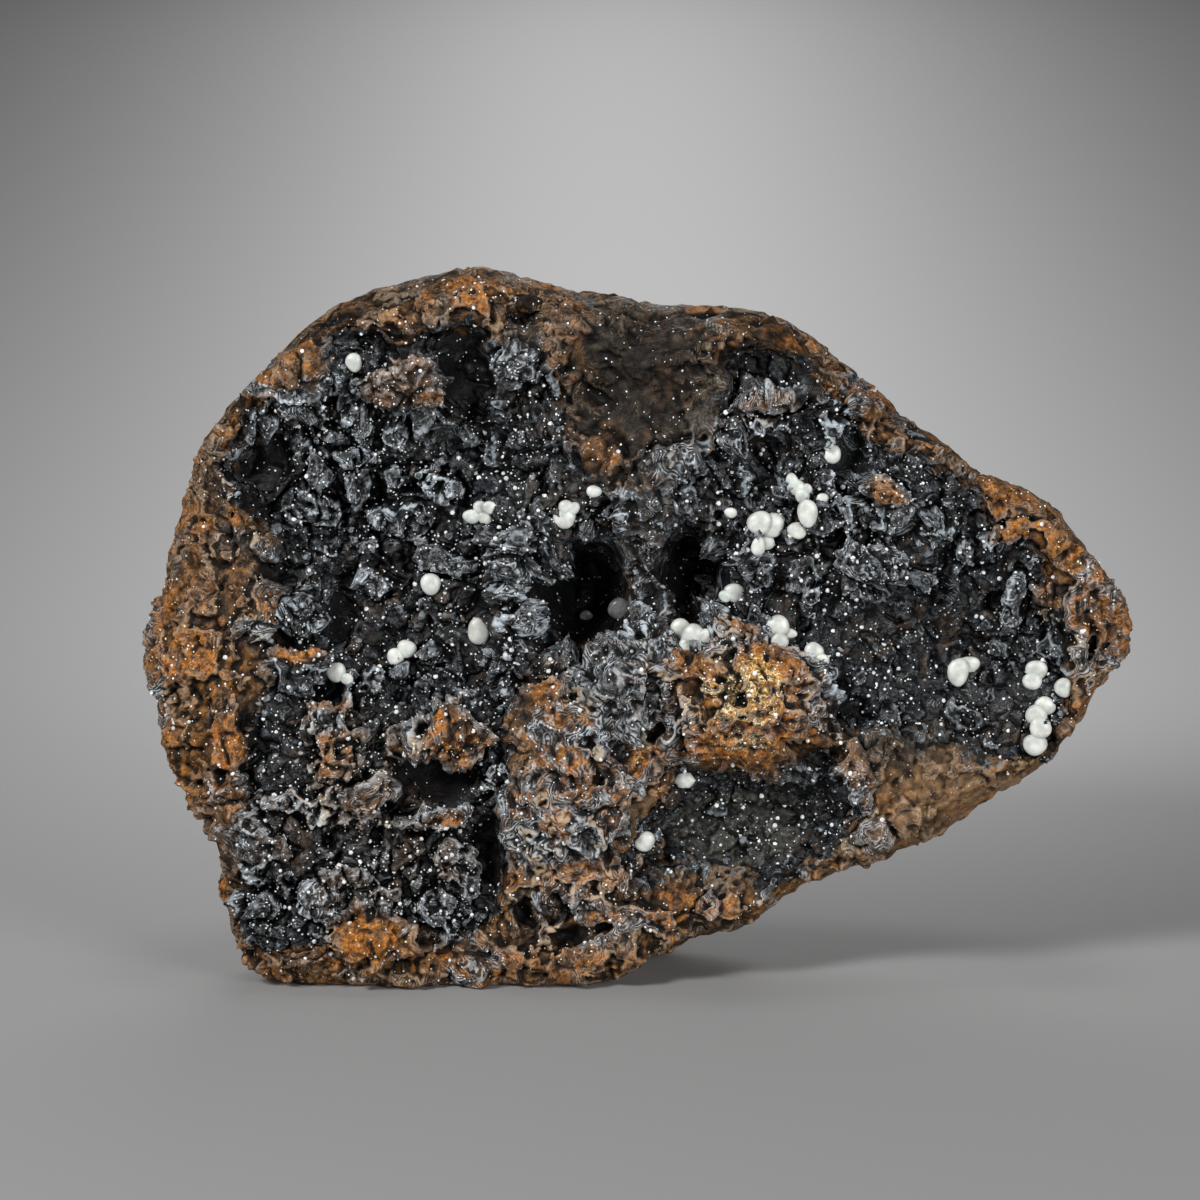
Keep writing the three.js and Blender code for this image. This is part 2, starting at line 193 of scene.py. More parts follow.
def shifted_by(tree, where, offset):
    """A place moved by the same length along all three axes."""
    return put(tree, "ShaderNodeVectorMath", {0: where, 1: (offset, offset, offset)}).outputs[0]


def noise(tree, where, size, detail=3.0, roughness=0.55, offset=0.0):
    """Cloudy noise with lumps of the given size in metres, about 0.5 in the middle."""
    if offset:
        where = shifted_by(tree, where, offset)
    inputs = {"Vector": where, "Scale": 1 / size, "Detail": detail, "Roughness": roughness}
    return put(tree, "ShaderNodeTexNoise", inputs).outputs[0]


# %% [markdown]
# ## Relief that grows on a surface
# A real crust is lumpy at several sizes at once. Ragged flat-topped plates and smaller flakes stand over
# chunks of two to three millimetres, which have black gaps between them. Smaller nubs sit on the chunks,
# and ridges, deep pits and a grain of half a millimetre cross them all. Sculpting this by hand would take
# days and could not be changed afterwards, so one Geometry Nodes tree adds all of it along the surface's
# normals.
#
# The tree also stores six numbers at each point for the materials: the relief itself, how far the point
# stands out from its close surroundings and from its wider ones, how far inside a plate it lies, a phase
# that rises with that, and a tone that each chunk has to itself.

# %% The relief tree
RELIEF_KINDS = ["Plate", "Flake", "Chunk", "Nub", "Ridge", "Pit", "Grain"]
LAYER_STEP = 0.032


def geometry_tree(name, numbers):
    """An empty tree that takes a geometry and some named numbers in and gives a geometry out."""
    tree = bpy.data.node_groups.new(name, "GeometryNodeTree")
    for in_out in ("INPUT", "OUTPUT"):
        tree.interface.new_socket("Geometry", in_out=in_out, socket_type="NodeSocketGeometry")
    for title in numbers:
        tree.interface.new_socket(title, in_out="INPUT", socket_type="NodeSocketFloat")
    return tree


def stored_number(tree, name):
    """A number that the mesh carries at each point."""
    return put(tree, "GeometryNodeInputNamedAttribute", {"Name": name}, data_type="FLOAT").outputs[0]


def relief_tree():
    """Moves a surface along its normals by the sum of all kinds of relief."""
    sizes = [kind + part for kind in RELIEF_KINDS for part in (" Size", " Height")]
    tree = geometry_tree("Grown relief", [*sizes, "Seed"])
    for name in ("Near", "Far"):
        tree.interface.new_socket(name, in_out="INPUT", socket_type="NodeSocketInt")
    given = put(tree, "NodeGroupInput").outputs
    position = put(tree, "GeometryNodeInputPosition").outputs[0]
    shifted = put(tree, "ShaderNodeVectorMath", {0: position, 1: given["Seed"]}).outputs[0]

    def scale_of(size):
        return maths(tree, "DIVIDE", 1.0, given[size])

    def cloud(size, detail, roughness=0.55, offset=0.0):
        where = shifted_by(tree, shifted, offset)
        inputs = {"Vector": where, "Scale": scale_of(size), "Detail": detail, "Roughness": roughness}
        return put(tree, "ShaderNodeTexNoise", inputs)

    def chunks(name, bend_share):
        """Cells with narrow gaps between them, each at a height and with a tone of its own."""
        size = name + " Size"
        bend = cloud(size, 1.5, 0.5, 0.31).outputs["Color"]
        bend = shifted_by(tree, bend, -0.5)
        reach = maths(tree, "MULTIPLY", given[size], bend_share)
        bend = put(tree, "ShaderNodeVectorMath", {0: bend, "Scale": reach}, operation="SCALE").outputs[0]
        bent = put(tree, "ShaderNodeVectorMath", {0: shifted, 1: bend}).outputs[0]
        inputs = {"Vector": bent, "Scale": scale_of(size)}
        edge = put(tree, "ShaderNodeTexVoronoi", inputs, feature="DISTANCE_TO_EDGE").outputs["Distance"]
        cells = put(tree, "ShaderNodeTexVoronoi", inputs)
        own = put(tree, "ShaderNodeSeparateXYZ", {0: cells.outputs["Color"]}).outputs
        dome = maths(tree, "SUBTRACT", 1.0, maths(tree, "POWER", cells.outputs["Distance"], 3.0))
        top = maths(tree, "MULTIPLY", dome, maths(tree, "MULTIPLY_ADD", own[0], 1.4, 0.0))
        rise = maths(tree, "MULTIPLY", ramp(tree, edge, 0.0, 0.12), top)
        height = maths(tree, "MULTIPLY", maths(tree, "SUBTRACT", rise, 0.5), given[name + " Height"])
        return height, own[1]

    chunk, tone = chunks("Chunk", 0.9)
    nub, nub_tone = chunks("Nub", 0.7)
    vary = ramp(tree, cloud("Pit Size", 2.0, 0.5, 0.55).outputs[0], 0.38, 0.6, 0.45, 1.3)
    chunk = maths(tree, "MULTIPLY", chunk, vary)
    raised = stored_number(tree, "raised")
    plate_field = maths(tree, "ADD", cloud("Plate Size", 4.0, 0.5, 0.37).outputs[0], raised)
    flake_field = maths(tree, "MULTIPLY_ADD", raised, 0.5, cloud("Flake Size", 3.0, 0.5, 0.83).outputs[0])
    flake_field = maths(tree, "SUBTRACT", flake_field, 0.06)
    field = maths(tree, "MAXIMUM", plate_field, flake_field)

    def plates(value, name):
        """Flat-topped islands with a steep ragged wall and a rim that stands up a little."""
        lip = ramp(tree, value, 0.59, 0.53, 1.0, 1.35)
        top = maths(tree, "MULTIPLY", ramp(tree, value, 0.5, 0.53), lip)
        return maths(tree, "MULTIPLY", maths(tree, "SUBTRACT", top, 0.4), given[name + " Height"])

    phase = maths(tree, "DIVIDE", field, LAYER_STEP)
    fold = maths(tree, "ABSOLUTE", maths(tree, "SUBTRACT", cloud("Ridge Size", 3.0, 0.6).outputs[0], 0.5))
    ridge = maths(tree, "SUBTRACT", 0.6, maths(tree, "MULTIPLY", fold, 7.0))
    ridge = maths(tree, "MULTIPLY", maths(tree, "MAXIMUM", ridge, -0.6), given["Ridge Height"])
    pit = ramp(tree, cloud("Pit Size", 2.0, 0.5, 0.77).outputs[0], 0.54, 0.66)
    pit = maths(tree, "MULTIPLY", pit, given["Pit Height"])
    grain = maths(tree, "SUBTRACT", cloud("Grain Size", 2.0, 0.6, 0.13).outputs[0], 0.5)
    grain = maths(tree, "MULTIPLY", grain, given["Grain Height"])
    total = maths(tree, "ADD", maths(tree, "ADD", chunk, nub), maths(tree, "ADD", ridge, grain))
    total = maths(tree, "ADD", total, plates(plate_field, "Plate"))
    total = maths(tree, "ADD", total, plates(flake_field, "Flake"))
    total = maths(tree, "SUBTRACT", total, pit)
    total = maths(tree, "MULTIPLY_ADD", total, stored_number(tree, "strength"), stored_number(tree, "placed"))

    def store(geometry, name, value):
        inputs = {"Geometry": geometry, "Name": name, "Value": value}
        return put(tree, "GeometryNodeStoreNamedAttribute", inputs, data_type="FLOAT").outputs[0]

    def blurred(value, steps):
        return put(tree, "GeometryNodeBlurAttribute", {"Value": value, "Iterations": steps}).outputs[0]

    stored = store(given["Geometry"], "relief", total)
    relief = stored_number(tree, "relief")
    near = maths(tree, "SUBTRACT", relief, blurred(relief, given["Near"]))
    far = maths(tree, "SUBTRACT", relief, blurred(relief, given["Far"]))
    stored = store(stored, "near_mm", maths(tree, "DIVIDE", near, MM))
    stored = store(stored, "far_mm", maths(tree, "DIVIDE", far, MM))
    stored = store(stored, "phase", phase)
    stored = store(stored, "plate", maths(tree, "SUBTRACT", field, 0.5))
    own_tone = maths(tree, "MULTIPLY_ADD", nub_tone, 0.4, maths(tree, "MULTIPLY", tone, 0.6))
    stored = store(stored, "tone", own_tone)
    normal = put(tree, "GeometryNodeInputNormal").outputs[0]
    offset = put(tree, "ShaderNodeVectorMath", {0: normal, "Scale": relief}, operation="SCALE").outputs[0]
    moved = put(tree, "GeometryNodeSetPosition", {"Geometry": stored, "Offset": offset}).outputs[0]
    put(tree, "NodeGroupOutput", {"Geometry": moved})
    return tree


RELIEF = relief_tree()


def apply_tree(piece, tree, values):
    """Runs a tree on a piece with named input values and keeps a plain mesh, lifted out of the ground."""
    modifier = piece.modifiers.new("tree", "NODES")
    modifier.node_group = tree
    for item in tree.interface.items_tree:
        if item.in_out == "INPUT" and item.name in values:
            modifier[item.identifier] = values[item.name]
    bpy.context.view_layer.update()
    baked = bpy.data.meshes.new_from_object(piece.evaluated_get(bpy.context.evaluated_depsgraph_get()))
    piece.modifiers.remove(modifier)
    piece.data = baked
    for v in baked.vertices:
        v.co.z = max(v.co.z, 0.0)
    return piece


print("relief tree:", len(RELIEF.nodes), "nodes")

# %% [markdown]
# ## Placed features
# The larger features of the real face are worth placing one by one: lumps and ledges, fins that stand on
# edge, rings round small holes, black holes darkened with painted shade, and patches of rust, of silver and
# of smoky grey. Painting them on an image would tie the colours to one view, so each is an ellipse or a line
# instead, written in pixels of the photograph. The pixels are first made to wander a little, so that no rim
# looks drawn.

# %% Placed features
def wander(px, py, size, seed):
    """A smooth repeatable value from -1 to 1 that swings over the given size in pixels."""
    grid = np.random.default_rng(seed).uniform(-1, 1, (64, 64))
    column, row = np.floor(px / size).astype(int), np.floor(py / size).astype(int)
    u, v = px / size - column, py / size - row
    u, v = u * u * (3 - 2 * u), v * v * (3 - 2 * v)
    corners = [[grid[(row + a) % 64, (column + b) % 64] for b in (0, 1)] for a in (0, 1)]
    low = corners[0][0] * (1 - u) + corners[0][1] * u
    high = corners[1][0] * (1 - u) + corners[1][1] * u
    return low * (1 - v) + high * v


def loosened(px, py, reach=1.0):
    """Pixels moved about, so that shapes measured in them get natural rims."""
    across = 7 * wander(px, py, 30, 1) + 3 * wander(px, py, 9, 2)
    down = 7 * wander(px, py, 30, 3) + 3 * wander(px, py, 9, 4)
    return px + reach * across, py + reach * down


def reach_of(px, py, x, y, half_width, half_height, turn):
    """How far each pixel is from the middle of an ellipse: 1 on its rim."""
    c, s = math.cos(math.radians(turn)), math.sin(math.radians(turn))
    u = ((px - x) * c + (py - y) * s) / half_width
    v = ((py - y) * c - (px - x) * s) / half_height
    return np.sqrt(u * u + v * v)


def patches(px, py, entries):
    """The strongest of several soft patches at each pixel: x, y, half width, half height, turn, amount."""
    px, py = loosened(px, py, 1.3)
    total = np.zeros(len(px))
    for *ellipse, amount in entries:
        total = np.maximum(total, amount * np.clip(1.5 - reach_of(px, py, *ellipse), 0, 1))
    return total


RUST = [
    (195, 655, 34, 30, 0, 1.0), (222, 738, 28, 20, 0, 1.0), (190, 740, 44, 56, 0, 0.45),
    (178, 735, 12, 26, 0, 0.8), (200, 520, 20, 40, 10, 0.5), (170, 610, 12, 30, 0, 0.7),
    (225, 600, 36, 44, 0, 0.5), (478, 298, 20, 26, -35, 1.0), (398, 316, 18, 11, -10, 1.0),
    (425, 305, 16, 9, 0, 0.9), (440, 284, 26, 9, -10, 0.6), (322, 352, 12, 10, 0, 0.7),
    (290, 362, 30, 16, -30, 0.3), (270, 378, 10, 10, 0, 0.8), (405, 380, 42, 24, 10, 0.36),
    (440, 402, 20, 8, 0, 0.55), (370, 800, 110, 90, 0, 0.3), (602, 450, 20, 18, 0, 0.8),
    (868, 382, 12, 16, -40, 1.0), (888, 402, 12, 14, -40, 0.9), (880, 490, 14, 14, 0, 0.6),
    (1015, 495, 44, 16, 18, 0.7), (1020, 535, 32, 12, 15, 1.0), (985, 505, 14, 20, 0, 0.8),
    (1052, 515, 20, 18, 10, 0.6), (1066, 560, 12, 12, 0, 0.8), (1095, 575, 14, 18, 0, 0.6),
    (1118, 622, 10, 26, 0, 0.6), (1050, 590, 12, 26, 0, 0.6), (1098, 668, 16, 20, 0, 0.6),
    (1088, 610, 26, 50, 0, 0.6), (770, 408, 44, 13, -10, 0.3), (1072, 702, 12, 12, 0, 0.7),
    (455, 735, 30, 15, 10, 0.9), (460, 712, 30, 10, 10, 0.3), (745, 690, 52, 40, 0, 1.35),
    (740, 735, 50, 24, 0, 1.1), (722, 660, 24, 18, 0, 0.6), (738, 628, 14, 12, 0, 0.6),
    (852, 760, 12, 30, -12, 0.4), (372, 935, 36, 24, 10, 1.0), (430, 962, 30, 14, 0, 0.7),
    (270, 970, 24, 10, 20, 0.7), (330, 970, 20, 8, 20, 0.8), (540, 955, 46, 16, 0, 0.7),
    (610, 915, 40, 20, -10, 0.6), (672, 908, 40, 16, -15, 0.8), (590, 775, 44, 22, 20, 0.6),
    (548, 690, 26, 20, 0, 0.6), (560, 720, 20, 16, 0, 0.5), (590, 720, 14, 10, 0, 0.6),
    (634, 755, 12, 14, 0, 1.2), (560, 832, 24, 18, 0, 0.5), (525, 800, 16, 20, 0, 0.5),
    (620, 800, 14, 18, 0, 0.6), (590, 880, 44, 16, 0, 0.6), (545, 882, 16, 12, 0, 0.5),
    (500, 975, 30, 8, 0, 0.7), (722, 905, 36, 11, -10, 0.6), (340, 752, 22, 16, -30, 0.7),
    (330, 712, 44, 10, 0, 0.5), (300, 655, 22, 6, -5, 0.9), (375, 795, 16, 12, -20, 0.5),
    (450, 812, 26, 7, -10, 0.7), (435, 865, 30, 8, 0, 0.4), (232, 785, 20, 10, 0, 0.35),
    (820, 715, 14, 20, 0, 0.4), (700, 590, 6, 6, 0, 0.7), (995, 775, 12, 10, 0, 0.5),
    (660, 785, 12, 14, 0, 0.6),
]  # fmt: skip

SILVER = [
    (610, 662, 50, 34, -20, 1.0), (640, 640, 34, 26, 0, 1.0), (632, 700, 44, 28, 0, 1.0),
    (560, 735, 40, 22, 15, 0.9), (600, 735, 34, 30, 0, 0.9), (585, 785, 50, 26, 20, 0.8),
    (620, 770, 24, 30, 0, 0.9), (520, 820, 26, 46, 0, 0.7), (570, 830, 50, 36, 0, 0.6),
    (620, 830, 30, 26, 0, 0.7), (560, 905, 40, 24, 0, 0.8), (610, 880, 36, 14, 0, 0.5),
    (680, 725, 22, 40, 0, 0.8), (720, 640, 20, 16, 0, 0.7), (815, 680, 22, 34, -30, 0.8),
    (830, 720, 18, 24, 0, 0.7), (856, 790, 14, 30, -15, 0.8), (870, 830, 20, 18, 0, 0.5),
    (745, 700, 60, 54, 0, 0.35), (640, 920, 30, 14, -20, 0.7), (705, 905, 16, 16, 0, 0.8),
    (760, 900, 20, 10, 0, 0.8), (600, 925, 60, 20, -10, 0.5), (480, 965, 26, 18, 0, 0.9),
    (440, 930, 20, 18, 0, 0.7), (340, 965, 30, 12, 0, 0.5), (308, 610, 20, 14, 0, 1.0),
    (255, 635, 24, 14, 0, 0.6), (240, 540, 26, 16, 20, 0.4), (165, 680, 9, 46, 0, 0.6),
    (158, 620, 8, 20, 0, 0.6), (270, 390, 30, 8, 10, 0.7), (322, 385, 30, 9, 0, 0.7),
    (240, 485, 26, 12, 20, 0.7), (305, 412, 28, 9, 25, 0.8), (362, 425, 14, 15, 0, 0.7),
    (765, 402, 36, 12, -10, 1.0), (730, 440, 20, 18, 0, 1.0), (668, 465, 30, 24, 0, 0.6),
    (626, 508, 8, 24, 0, 1.0), (652, 545, 13, 64, 0, 0.75), (868, 560, 34, 22, 0, 0.8),
    (940, 595, 8, 28, -20, 0.9), (1012, 600, 12, 22, 10, 0.7), (806, 600, 9, 20, 10, 0.8),
    (715, 612, 20, 12, 0, 0.8), (512, 575, 18, 44, 0, 0.7), (520, 610, 22, 20, 0, 0.7),
    (505, 660, 20, 20, 0, 0.6), (440, 730, 50, 26, 0, 0.4), (375, 790, 32, 24, 0, 0.6),
    (435, 815, 44, 16, -10, 0.6), (318, 815, 34, 12, 25, 0.9), (345, 875, 28, 10, 0, 0.8),
    (320, 895, 26, 22, 0, 0.6), (250, 840, 22, 22, 0, 0.5), (230, 785, 26, 20, 0, 0.5),
    (320, 730, 40, 14, 0, 0.5), (855, 385, 20, 24, 0, 0.6), (845, 500, 18, 30, 0, 0.6),
    (400, 522, 26, 14, 15, 0.4), (435, 490, 26, 16, 10, 0.5), (320, 508, 26, 12, 20, 0.5),
    (378, 585, 24, 10, 0, 0.4), (450, 565, 40, 14, 10, 0.4), (1090, 620, 28, 60, 0, 0.75),
    (790, 440, 60, 46, 0, 0.3), (910, 550, 70, 50, 0, 0.3), (715, 330, 26, 18, 0, 0.3),
    (520, 365, 20, 24, 0, 0.5), (478, 772, 24, 14, 0, 0.7), (440, 900, 16, 14, 0, 0.5),
]  # fmt: skip

# Black holes: pushed in, and darkened in the materials with painted shade over the black crystal.
BLACK = [
    (270, 482, 26, 38, 0, 1.0), (473, 382, 20, 44, 0, 1.0), (385, 496, 10, 14, 0, 1.0),
    (343, 620, 20, 22, 0, 1.0), (300, 640, 26, 9, 0, 0.9), (290, 568, 22, 14, 20, 0.9),
    (580, 605, 42, 50, 0, 0.75), (685, 575, 22, 46, 0, 0.75), (765, 462, 15, 22, 0, 0.6),
    (845, 460, 11, 16, 0, 0.5), (825, 550, 12, 14, 0, 0.9), (440, 775, 44, 18, 0, 1.0),
    (493, 850, 12, 50, 5, 0.9), (408, 805, 16, 10, -40, 0.9), (330, 690, 14, 20, 0, 0.8),
    (470, 665, 12, 26, 0, 0.8), (252, 740, 10, 40, 0, 0.8), (385, 640, 20, 10, 0, 0.7),
    (455, 350, 40, 12, 10, 0.8), (375, 340, 44, 11, 0, 0.8), (592, 402, 14, 8, 35, 0.7),
    (530, 316, 16, 10, 20, 0.8), (300, 545, 16, 12, 0, 0.7), (430, 935, 10, 14, 0, 0.8),
    (523, 908, 14, 12, 0, 0.6), (612, 750, 11, 9, 30, 0.5), (648, 728, 9, 13, 20, 0.5),
    (640, 385, 74, 80, 0, 0.55), (1082, 630, 6, 26, 0, 0.5), (1060, 645, 5, 18, 0, 0.5),
    (850, 700, 14, 24, 0, 0.9), (818, 750, 24, 14, 0, 0.8), (800, 395, 12, 16, 0, 0.7),
    (730, 365, 14, 16, 0, 0.8), (760, 345, 26, 12, 0, 0.7), (770, 368, 50, 22, 0, 0.6),
    (800, 620, 10, 14, 0, 0.6), (655, 600, 6, 20, 0, 0.8), (245, 405, 12, 8, 0, 0.9),
    (330, 325, 40, 8, -25, 0.8), (570, 935, 26, 8, 0, 0.7), (320, 958, 26, 6, 0, 0.8),
    (655, 860, 14, 10, 0, 0.7), (650, 895, 14, 8, 0, 0.7), (1045, 750, 30, 12, -30, 0.6),
    (905, 535, 14, 10, 0, 0.6), (975, 520, 10, 10, 0, 0.7), (400, 560, 14, 10, 0, 0.7),
    (470, 605, 14, 12, 0, 0.6), (720, 672, 7, 6, 0, 0.9), (744, 696, 6, 6, 0, 0.9),
    (762, 662, 6, 5, 0, 0.8), (600, 930, 14, 6, 0, 0.7), (700, 690, 8, 12, 0, 0.7),
]  # fmt: skip

GREY = [
    (645, 375, 84, 96, 0, 1.0), (648, 510, 26, 90, 0, 1.0), (530, 365, 30, 60, 0, 0.7),
    (560, 500, 40, 30, 0, 0.8), (600, 300, 40, 26, 0, 0.7), (1095, 620, 20, 40, 0, 0.3),
    (700, 300, 40, 14, 25, 0.6), (850, 555, 90, 56, 0, 0.4), (925, 735, 80, 26, -18, 0.7),
    (700, 500, 50, 60, 0, 0.35), (470, 590, 70, 90, 0, 0.25),
]  # fmt: skip

LUMPS = [
    (300, 414, 28, 9, 25, 1.3), (362, 424, 14, 15, 0, 1.2), (308, 450, 10, 9, 0, 1.3),
    (345, 443, 12, 8, 0, 1.0), (322, 475, 12, 15, 0, 1.3), (352, 465, 10, 10, 0, 1.0),
    (362, 487, 15, 13, 0, 1.4), (405, 482, 15, 12, 0, 1.2), (437, 488, 24, 15, 10, 1.5),
    (492, 532, 10, 9, 0, 0.9), (370, 545, 11, 9, 0, 1.0), (322, 508, 25, 12, 20, 1.3),
    (398, 522, 24, 15, 15, 1.3), (378, 585, 20, 11, -5, 1.1), (445, 560, 32, 12, 15, 1.0),
    (272, 428, 14, 13, 0, 0.9), (520, 545, 15, 13, 0, 1.0), (512, 570, 19, 12, 0, 1.1),
    (505, 598, 18, 12, 0, 1.1), (527, 618, 12, 15, 0, 1.0), (308, 612, 18, 12, 0, 1.5),
    (495, 455, 17, 18, 0, 1.0), (520, 368, 18, 22, 0, 1.0), (546, 380, 15, 18, 0, 0.8),
    (468, 440, 13, 12, 0, 0.8), (430, 432, 22, 9, 10, 0.8), (395, 440, 13, 10, 0, 0.8),
    (410, 386, 48, 26, 5, 0.8), (768, 402, 34, 11, -10, 1.3), (730, 440, 15, 17, 0, 1.3),
    (668, 468, 28, 22, 0, 1.0), (880, 490, 21, 17, 0, 1.7), (868, 562, 28, 18, 0, 1.2),
    (700, 590, 13, 14, 0, 1.4), (718, 612, 16, 11, 0, 1.0), (935, 530, 19, 13, 0, 1.0),
    (858, 400, 18, 20, 0, 1.2), (775, 572, 28, 18, 0, 0.9), (712, 548, 14, 15, 0, 1.0),
    (735, 485, 13, 12, 0, 0.8), (885, 655, 22, 7, 40, 0.8), (440, 735, 44, 24, 0, 1.4),
    (345, 750, 26, 20, 0, 1.3), (375, 790, 26, 20, -20, 1.3), (435, 814, 40, 12, -10, 1.4),
    (255, 830, 15, 15, 0, 1.0), (345, 873, 25, 9, 10, 1.1), (320, 893, 22, 18, 0, 1.2),
    (387, 896, 8, 7, 0, 0.9), (440, 902, 13, 13, 0, 1.0), (228, 785, 24, 17, 0, 1.1),
    (405, 668, 15, 9, 0, 0.9), (432, 652, 13, 9, 0, 1.0), (480, 778, 20, 12, 0, 1.1),
    (300, 655, 26, 6, -5, 1.2), (310, 682, 24, 10, 0, 1.0), (552, 565, 22, 17, 0, 1.8),
    (612, 655, 26, 14, -25, 1.6), (560, 655, 16, 13, 0, 1.4), (375, 940, 48, 26, 0, 1.3),
    (1020, 500, 50, 14, 18, 1.0), (1030, 538, 34, 13, 10, 1.2), (1015, 598, 12, 22, 10, 1.2),
    (852, 765, 15, 36, -12, 0.9), (870, 832, 16, 14, 0, 1.0), (480, 968, 22, 14, 0, 1.1),
    (705, 905, 14, 14, 0, 1.1), (290, 500, 12, 10, 0, 0.9), (258, 850, 12, 12, 0, 0.9),
    (285, 845, 10, 12, 0, 0.9), (275, 800, 16, 9, 20, 0.9), (410, 845, 14, 9, 0, 0.8),
    (455, 850, 9, 10, 0, 0.8), (270, 905, 14, 12, 0, 0.9), (600, 800, 18, 12, 0, 0.8),
    (920, 580, 12, 12, 0, 0.8), (965, 560, 14, 12, 0, 0.8), (1000, 650, 12, 12, 0, 0.7),
    (820, 530, 14, 12, 0, 0.9),
]  # fmt: skip

FINS = [
    (626, 488, 626, 530, 6, 1.3), (806, 582, 800, 622, 6, 1.4), (950, 572, 944, 600, 5, 1.2),
    (944, 600, 926, 618, 5, 1.2), (300, 806, 318, 822, 6, 1.2), (318, 822, 342, 816, 6, 1.2),
    (1006, 574, 1026, 620, 6, 1.1), (860, 545, 866, 590, 7, 1.1), (890, 548, 884, 590, 7, 1.1),
    (862, 568, 888, 568, 7, 1.0), (590, 650, 640, 628, 7, 1.3), (588, 668, 650, 646, 6, 1.2),
    (596, 688, 656, 668, 6, 1.2), (800, 650, 836, 700, 7, 1.2), (788, 660, 822, 712, 6, 1.1),
    (664, 690, 676, 740, 7, 1.2), (682, 690, 690, 736, 6, 1.0), (836, 700, 846, 740, 7, 1.2),
    (330, 915, 372, 898, 6, 1.1), (372, 898, 410, 920, 6, 1.1), (262, 392, 320, 398, 6, 1.1),
    (1070, 590, 1070, 650, 5, 1.2), (1092, 600, 1094, 650, 5, 1.1), (505, 800, 512, 850, 6, 1.0),
    (420, 708, 480, 716, 6, 0.9), (540, 760, 590, 776, 6, 1.0),
]  # fmt: skip

RINGS = [
    (612, 750, 18, 6, 0.8), (648, 728, 19, 6, 0.7), (243, 462, 24, 7, 0.9), (560, 910, 20, 6, 0.8),
    (523, 908, 18, 5, 0.7), (228, 772, 14, 5, 0.9), (700, 590, 13, 4, 0.9), (430, 932, 18, 6, 1.0),
    (590, 835, 15, 5, 0.9),
]  # fmt: skip


def lump_cover(px, py):
    """1 on the placed lumps and 0 away from them, so that ragged plates grow there."""
    px, py = loosened(px, py)
    cover = np.zeros(len(px))
    for *ellipse, _ in LUMPS:
        cover = np.maximum(cover, np.clip((1.25 - reach_of(px, py, *ellipse)) / 0.4, 0, 1))
    return cover


def placed_relief(px, py):
    """How far the placed features move the surface out, in metres."""
    px, py = loosened(px, py)
    total = np.zeros(len(px))
    for *ellipse, height in LUMPS:
        d = reach_of(px, py, *ellipse)
        dome = 0.65 * height * np.clip(1 - d * d, 0, 1) ** 0.6
        gap = np.where((d > 1) & (d < 1.45), 0.45 * height * np.sin(math.pi * (d - 1) / 0.45), 0)
        total += dome - gap
    for x0, y0, x1, y1, half_width, height in FINS:
        along = np.array([x1 - x0, y1 - y0])
        share = np.clip(((px - x0) * along[0] + (py - y0) * along[1]) / (along @ along), 0, 1)
        away = np.hypot(px - x0 - share * along[0], py - y0 - share * along[1]) / half_width
        total += height * np.clip(1 - away, 0, 1) ** 0.7
    for x, y, radius, half_width, height in RINGS:
        middle = np.hypot(px - x, py - y)
        total += height * np.clip(1 - np.abs(middle - radius) / half_width, 0, 1) ** 0.7
        total -= 0.9 * height * np.clip(1 - middle / (radius * 0.8), 0, 1) ** 0.7
    for *ellipse, amount in BLACK:
        d = reach_of(px, py, *ellipse)
        total -= 1.6 * amount * np.clip(1.1 - d, 0, 0.6)
    return total * MM


print("patches:", len(RUST) + len(SILVER) + len(BLACK), "placed shapes:", len(LUMPS) + len(FINS) + len(RINGS))

# %% [markdown]
# ## Sheets that follow the front
# Each crust is a sheet over one hollow. A fine grid is laid over the node's box, the points outside the
# hollow are dropped, and the rest take their depth from the map of the front. Towards its rim the sheet
# dips under the stone, so that the join is an uneven natural line. Later, side walls that are drawn in and
# down and a flat back inside the stone close it to a solid. A sheet is used, not a copy of the solid,
# because only an even grid carries fine relief without folds.

# %% Sheets
def store_numbers(mesh, name, values):
    """A number for each point of a mesh, which geometry nodes and materials can read by name."""
    layer = mesh.attributes.new(name, "FLOAT", "POINT")
    layer.data.foreach_set("value", np.asarray(values, dtype=np.float32))


def new_piece(name, verts, faces):
    """An object in the scene with a mesh of its own."""
    mesh = bpy.data.meshes.new(name)
    mesh.from_pydata(verts, [], faces)
    mesh.update()
    piece = bpy.data.objects.new(name, mesh)
    bpy.context.scene.collection.objects.link(piece)
    return piece


def largest_patch(keep):
    """The biggest connected part of a mask, found by letting a seed spread."""
    best = np.zeros_like(keep)
    left = keep.copy()
    while left.sum() > best.sum():
        seed = np.zeros_like(keep)
        r, c = np.argwhere(left)[0]
        seed[r, c] = True
        size = 0
        while seed.sum() > size:
            size = seed.sum()
            for _ in range(40):
                grown = seed.copy()
                grown[1:] |= seed[:-1]
                grown[:-1] |= seed[1:]
                grown[:, 1:] |= seed[:, :-1]
                grown[:, :-1] |= seed[:, 1:]
                seed = grown & left
        if seed.sum() > best.sum():
            best = seed
        left &= ~seed
    return best


SHEET_MARGIN = 1.2 * MM
LOWEST_SHEET = 1 * MM
CELLS_PER_RAY = 3
SHEET_FROM = 0.2
DIP_FROM = 0.5
DIP_DEPTH = 1.8 * MM


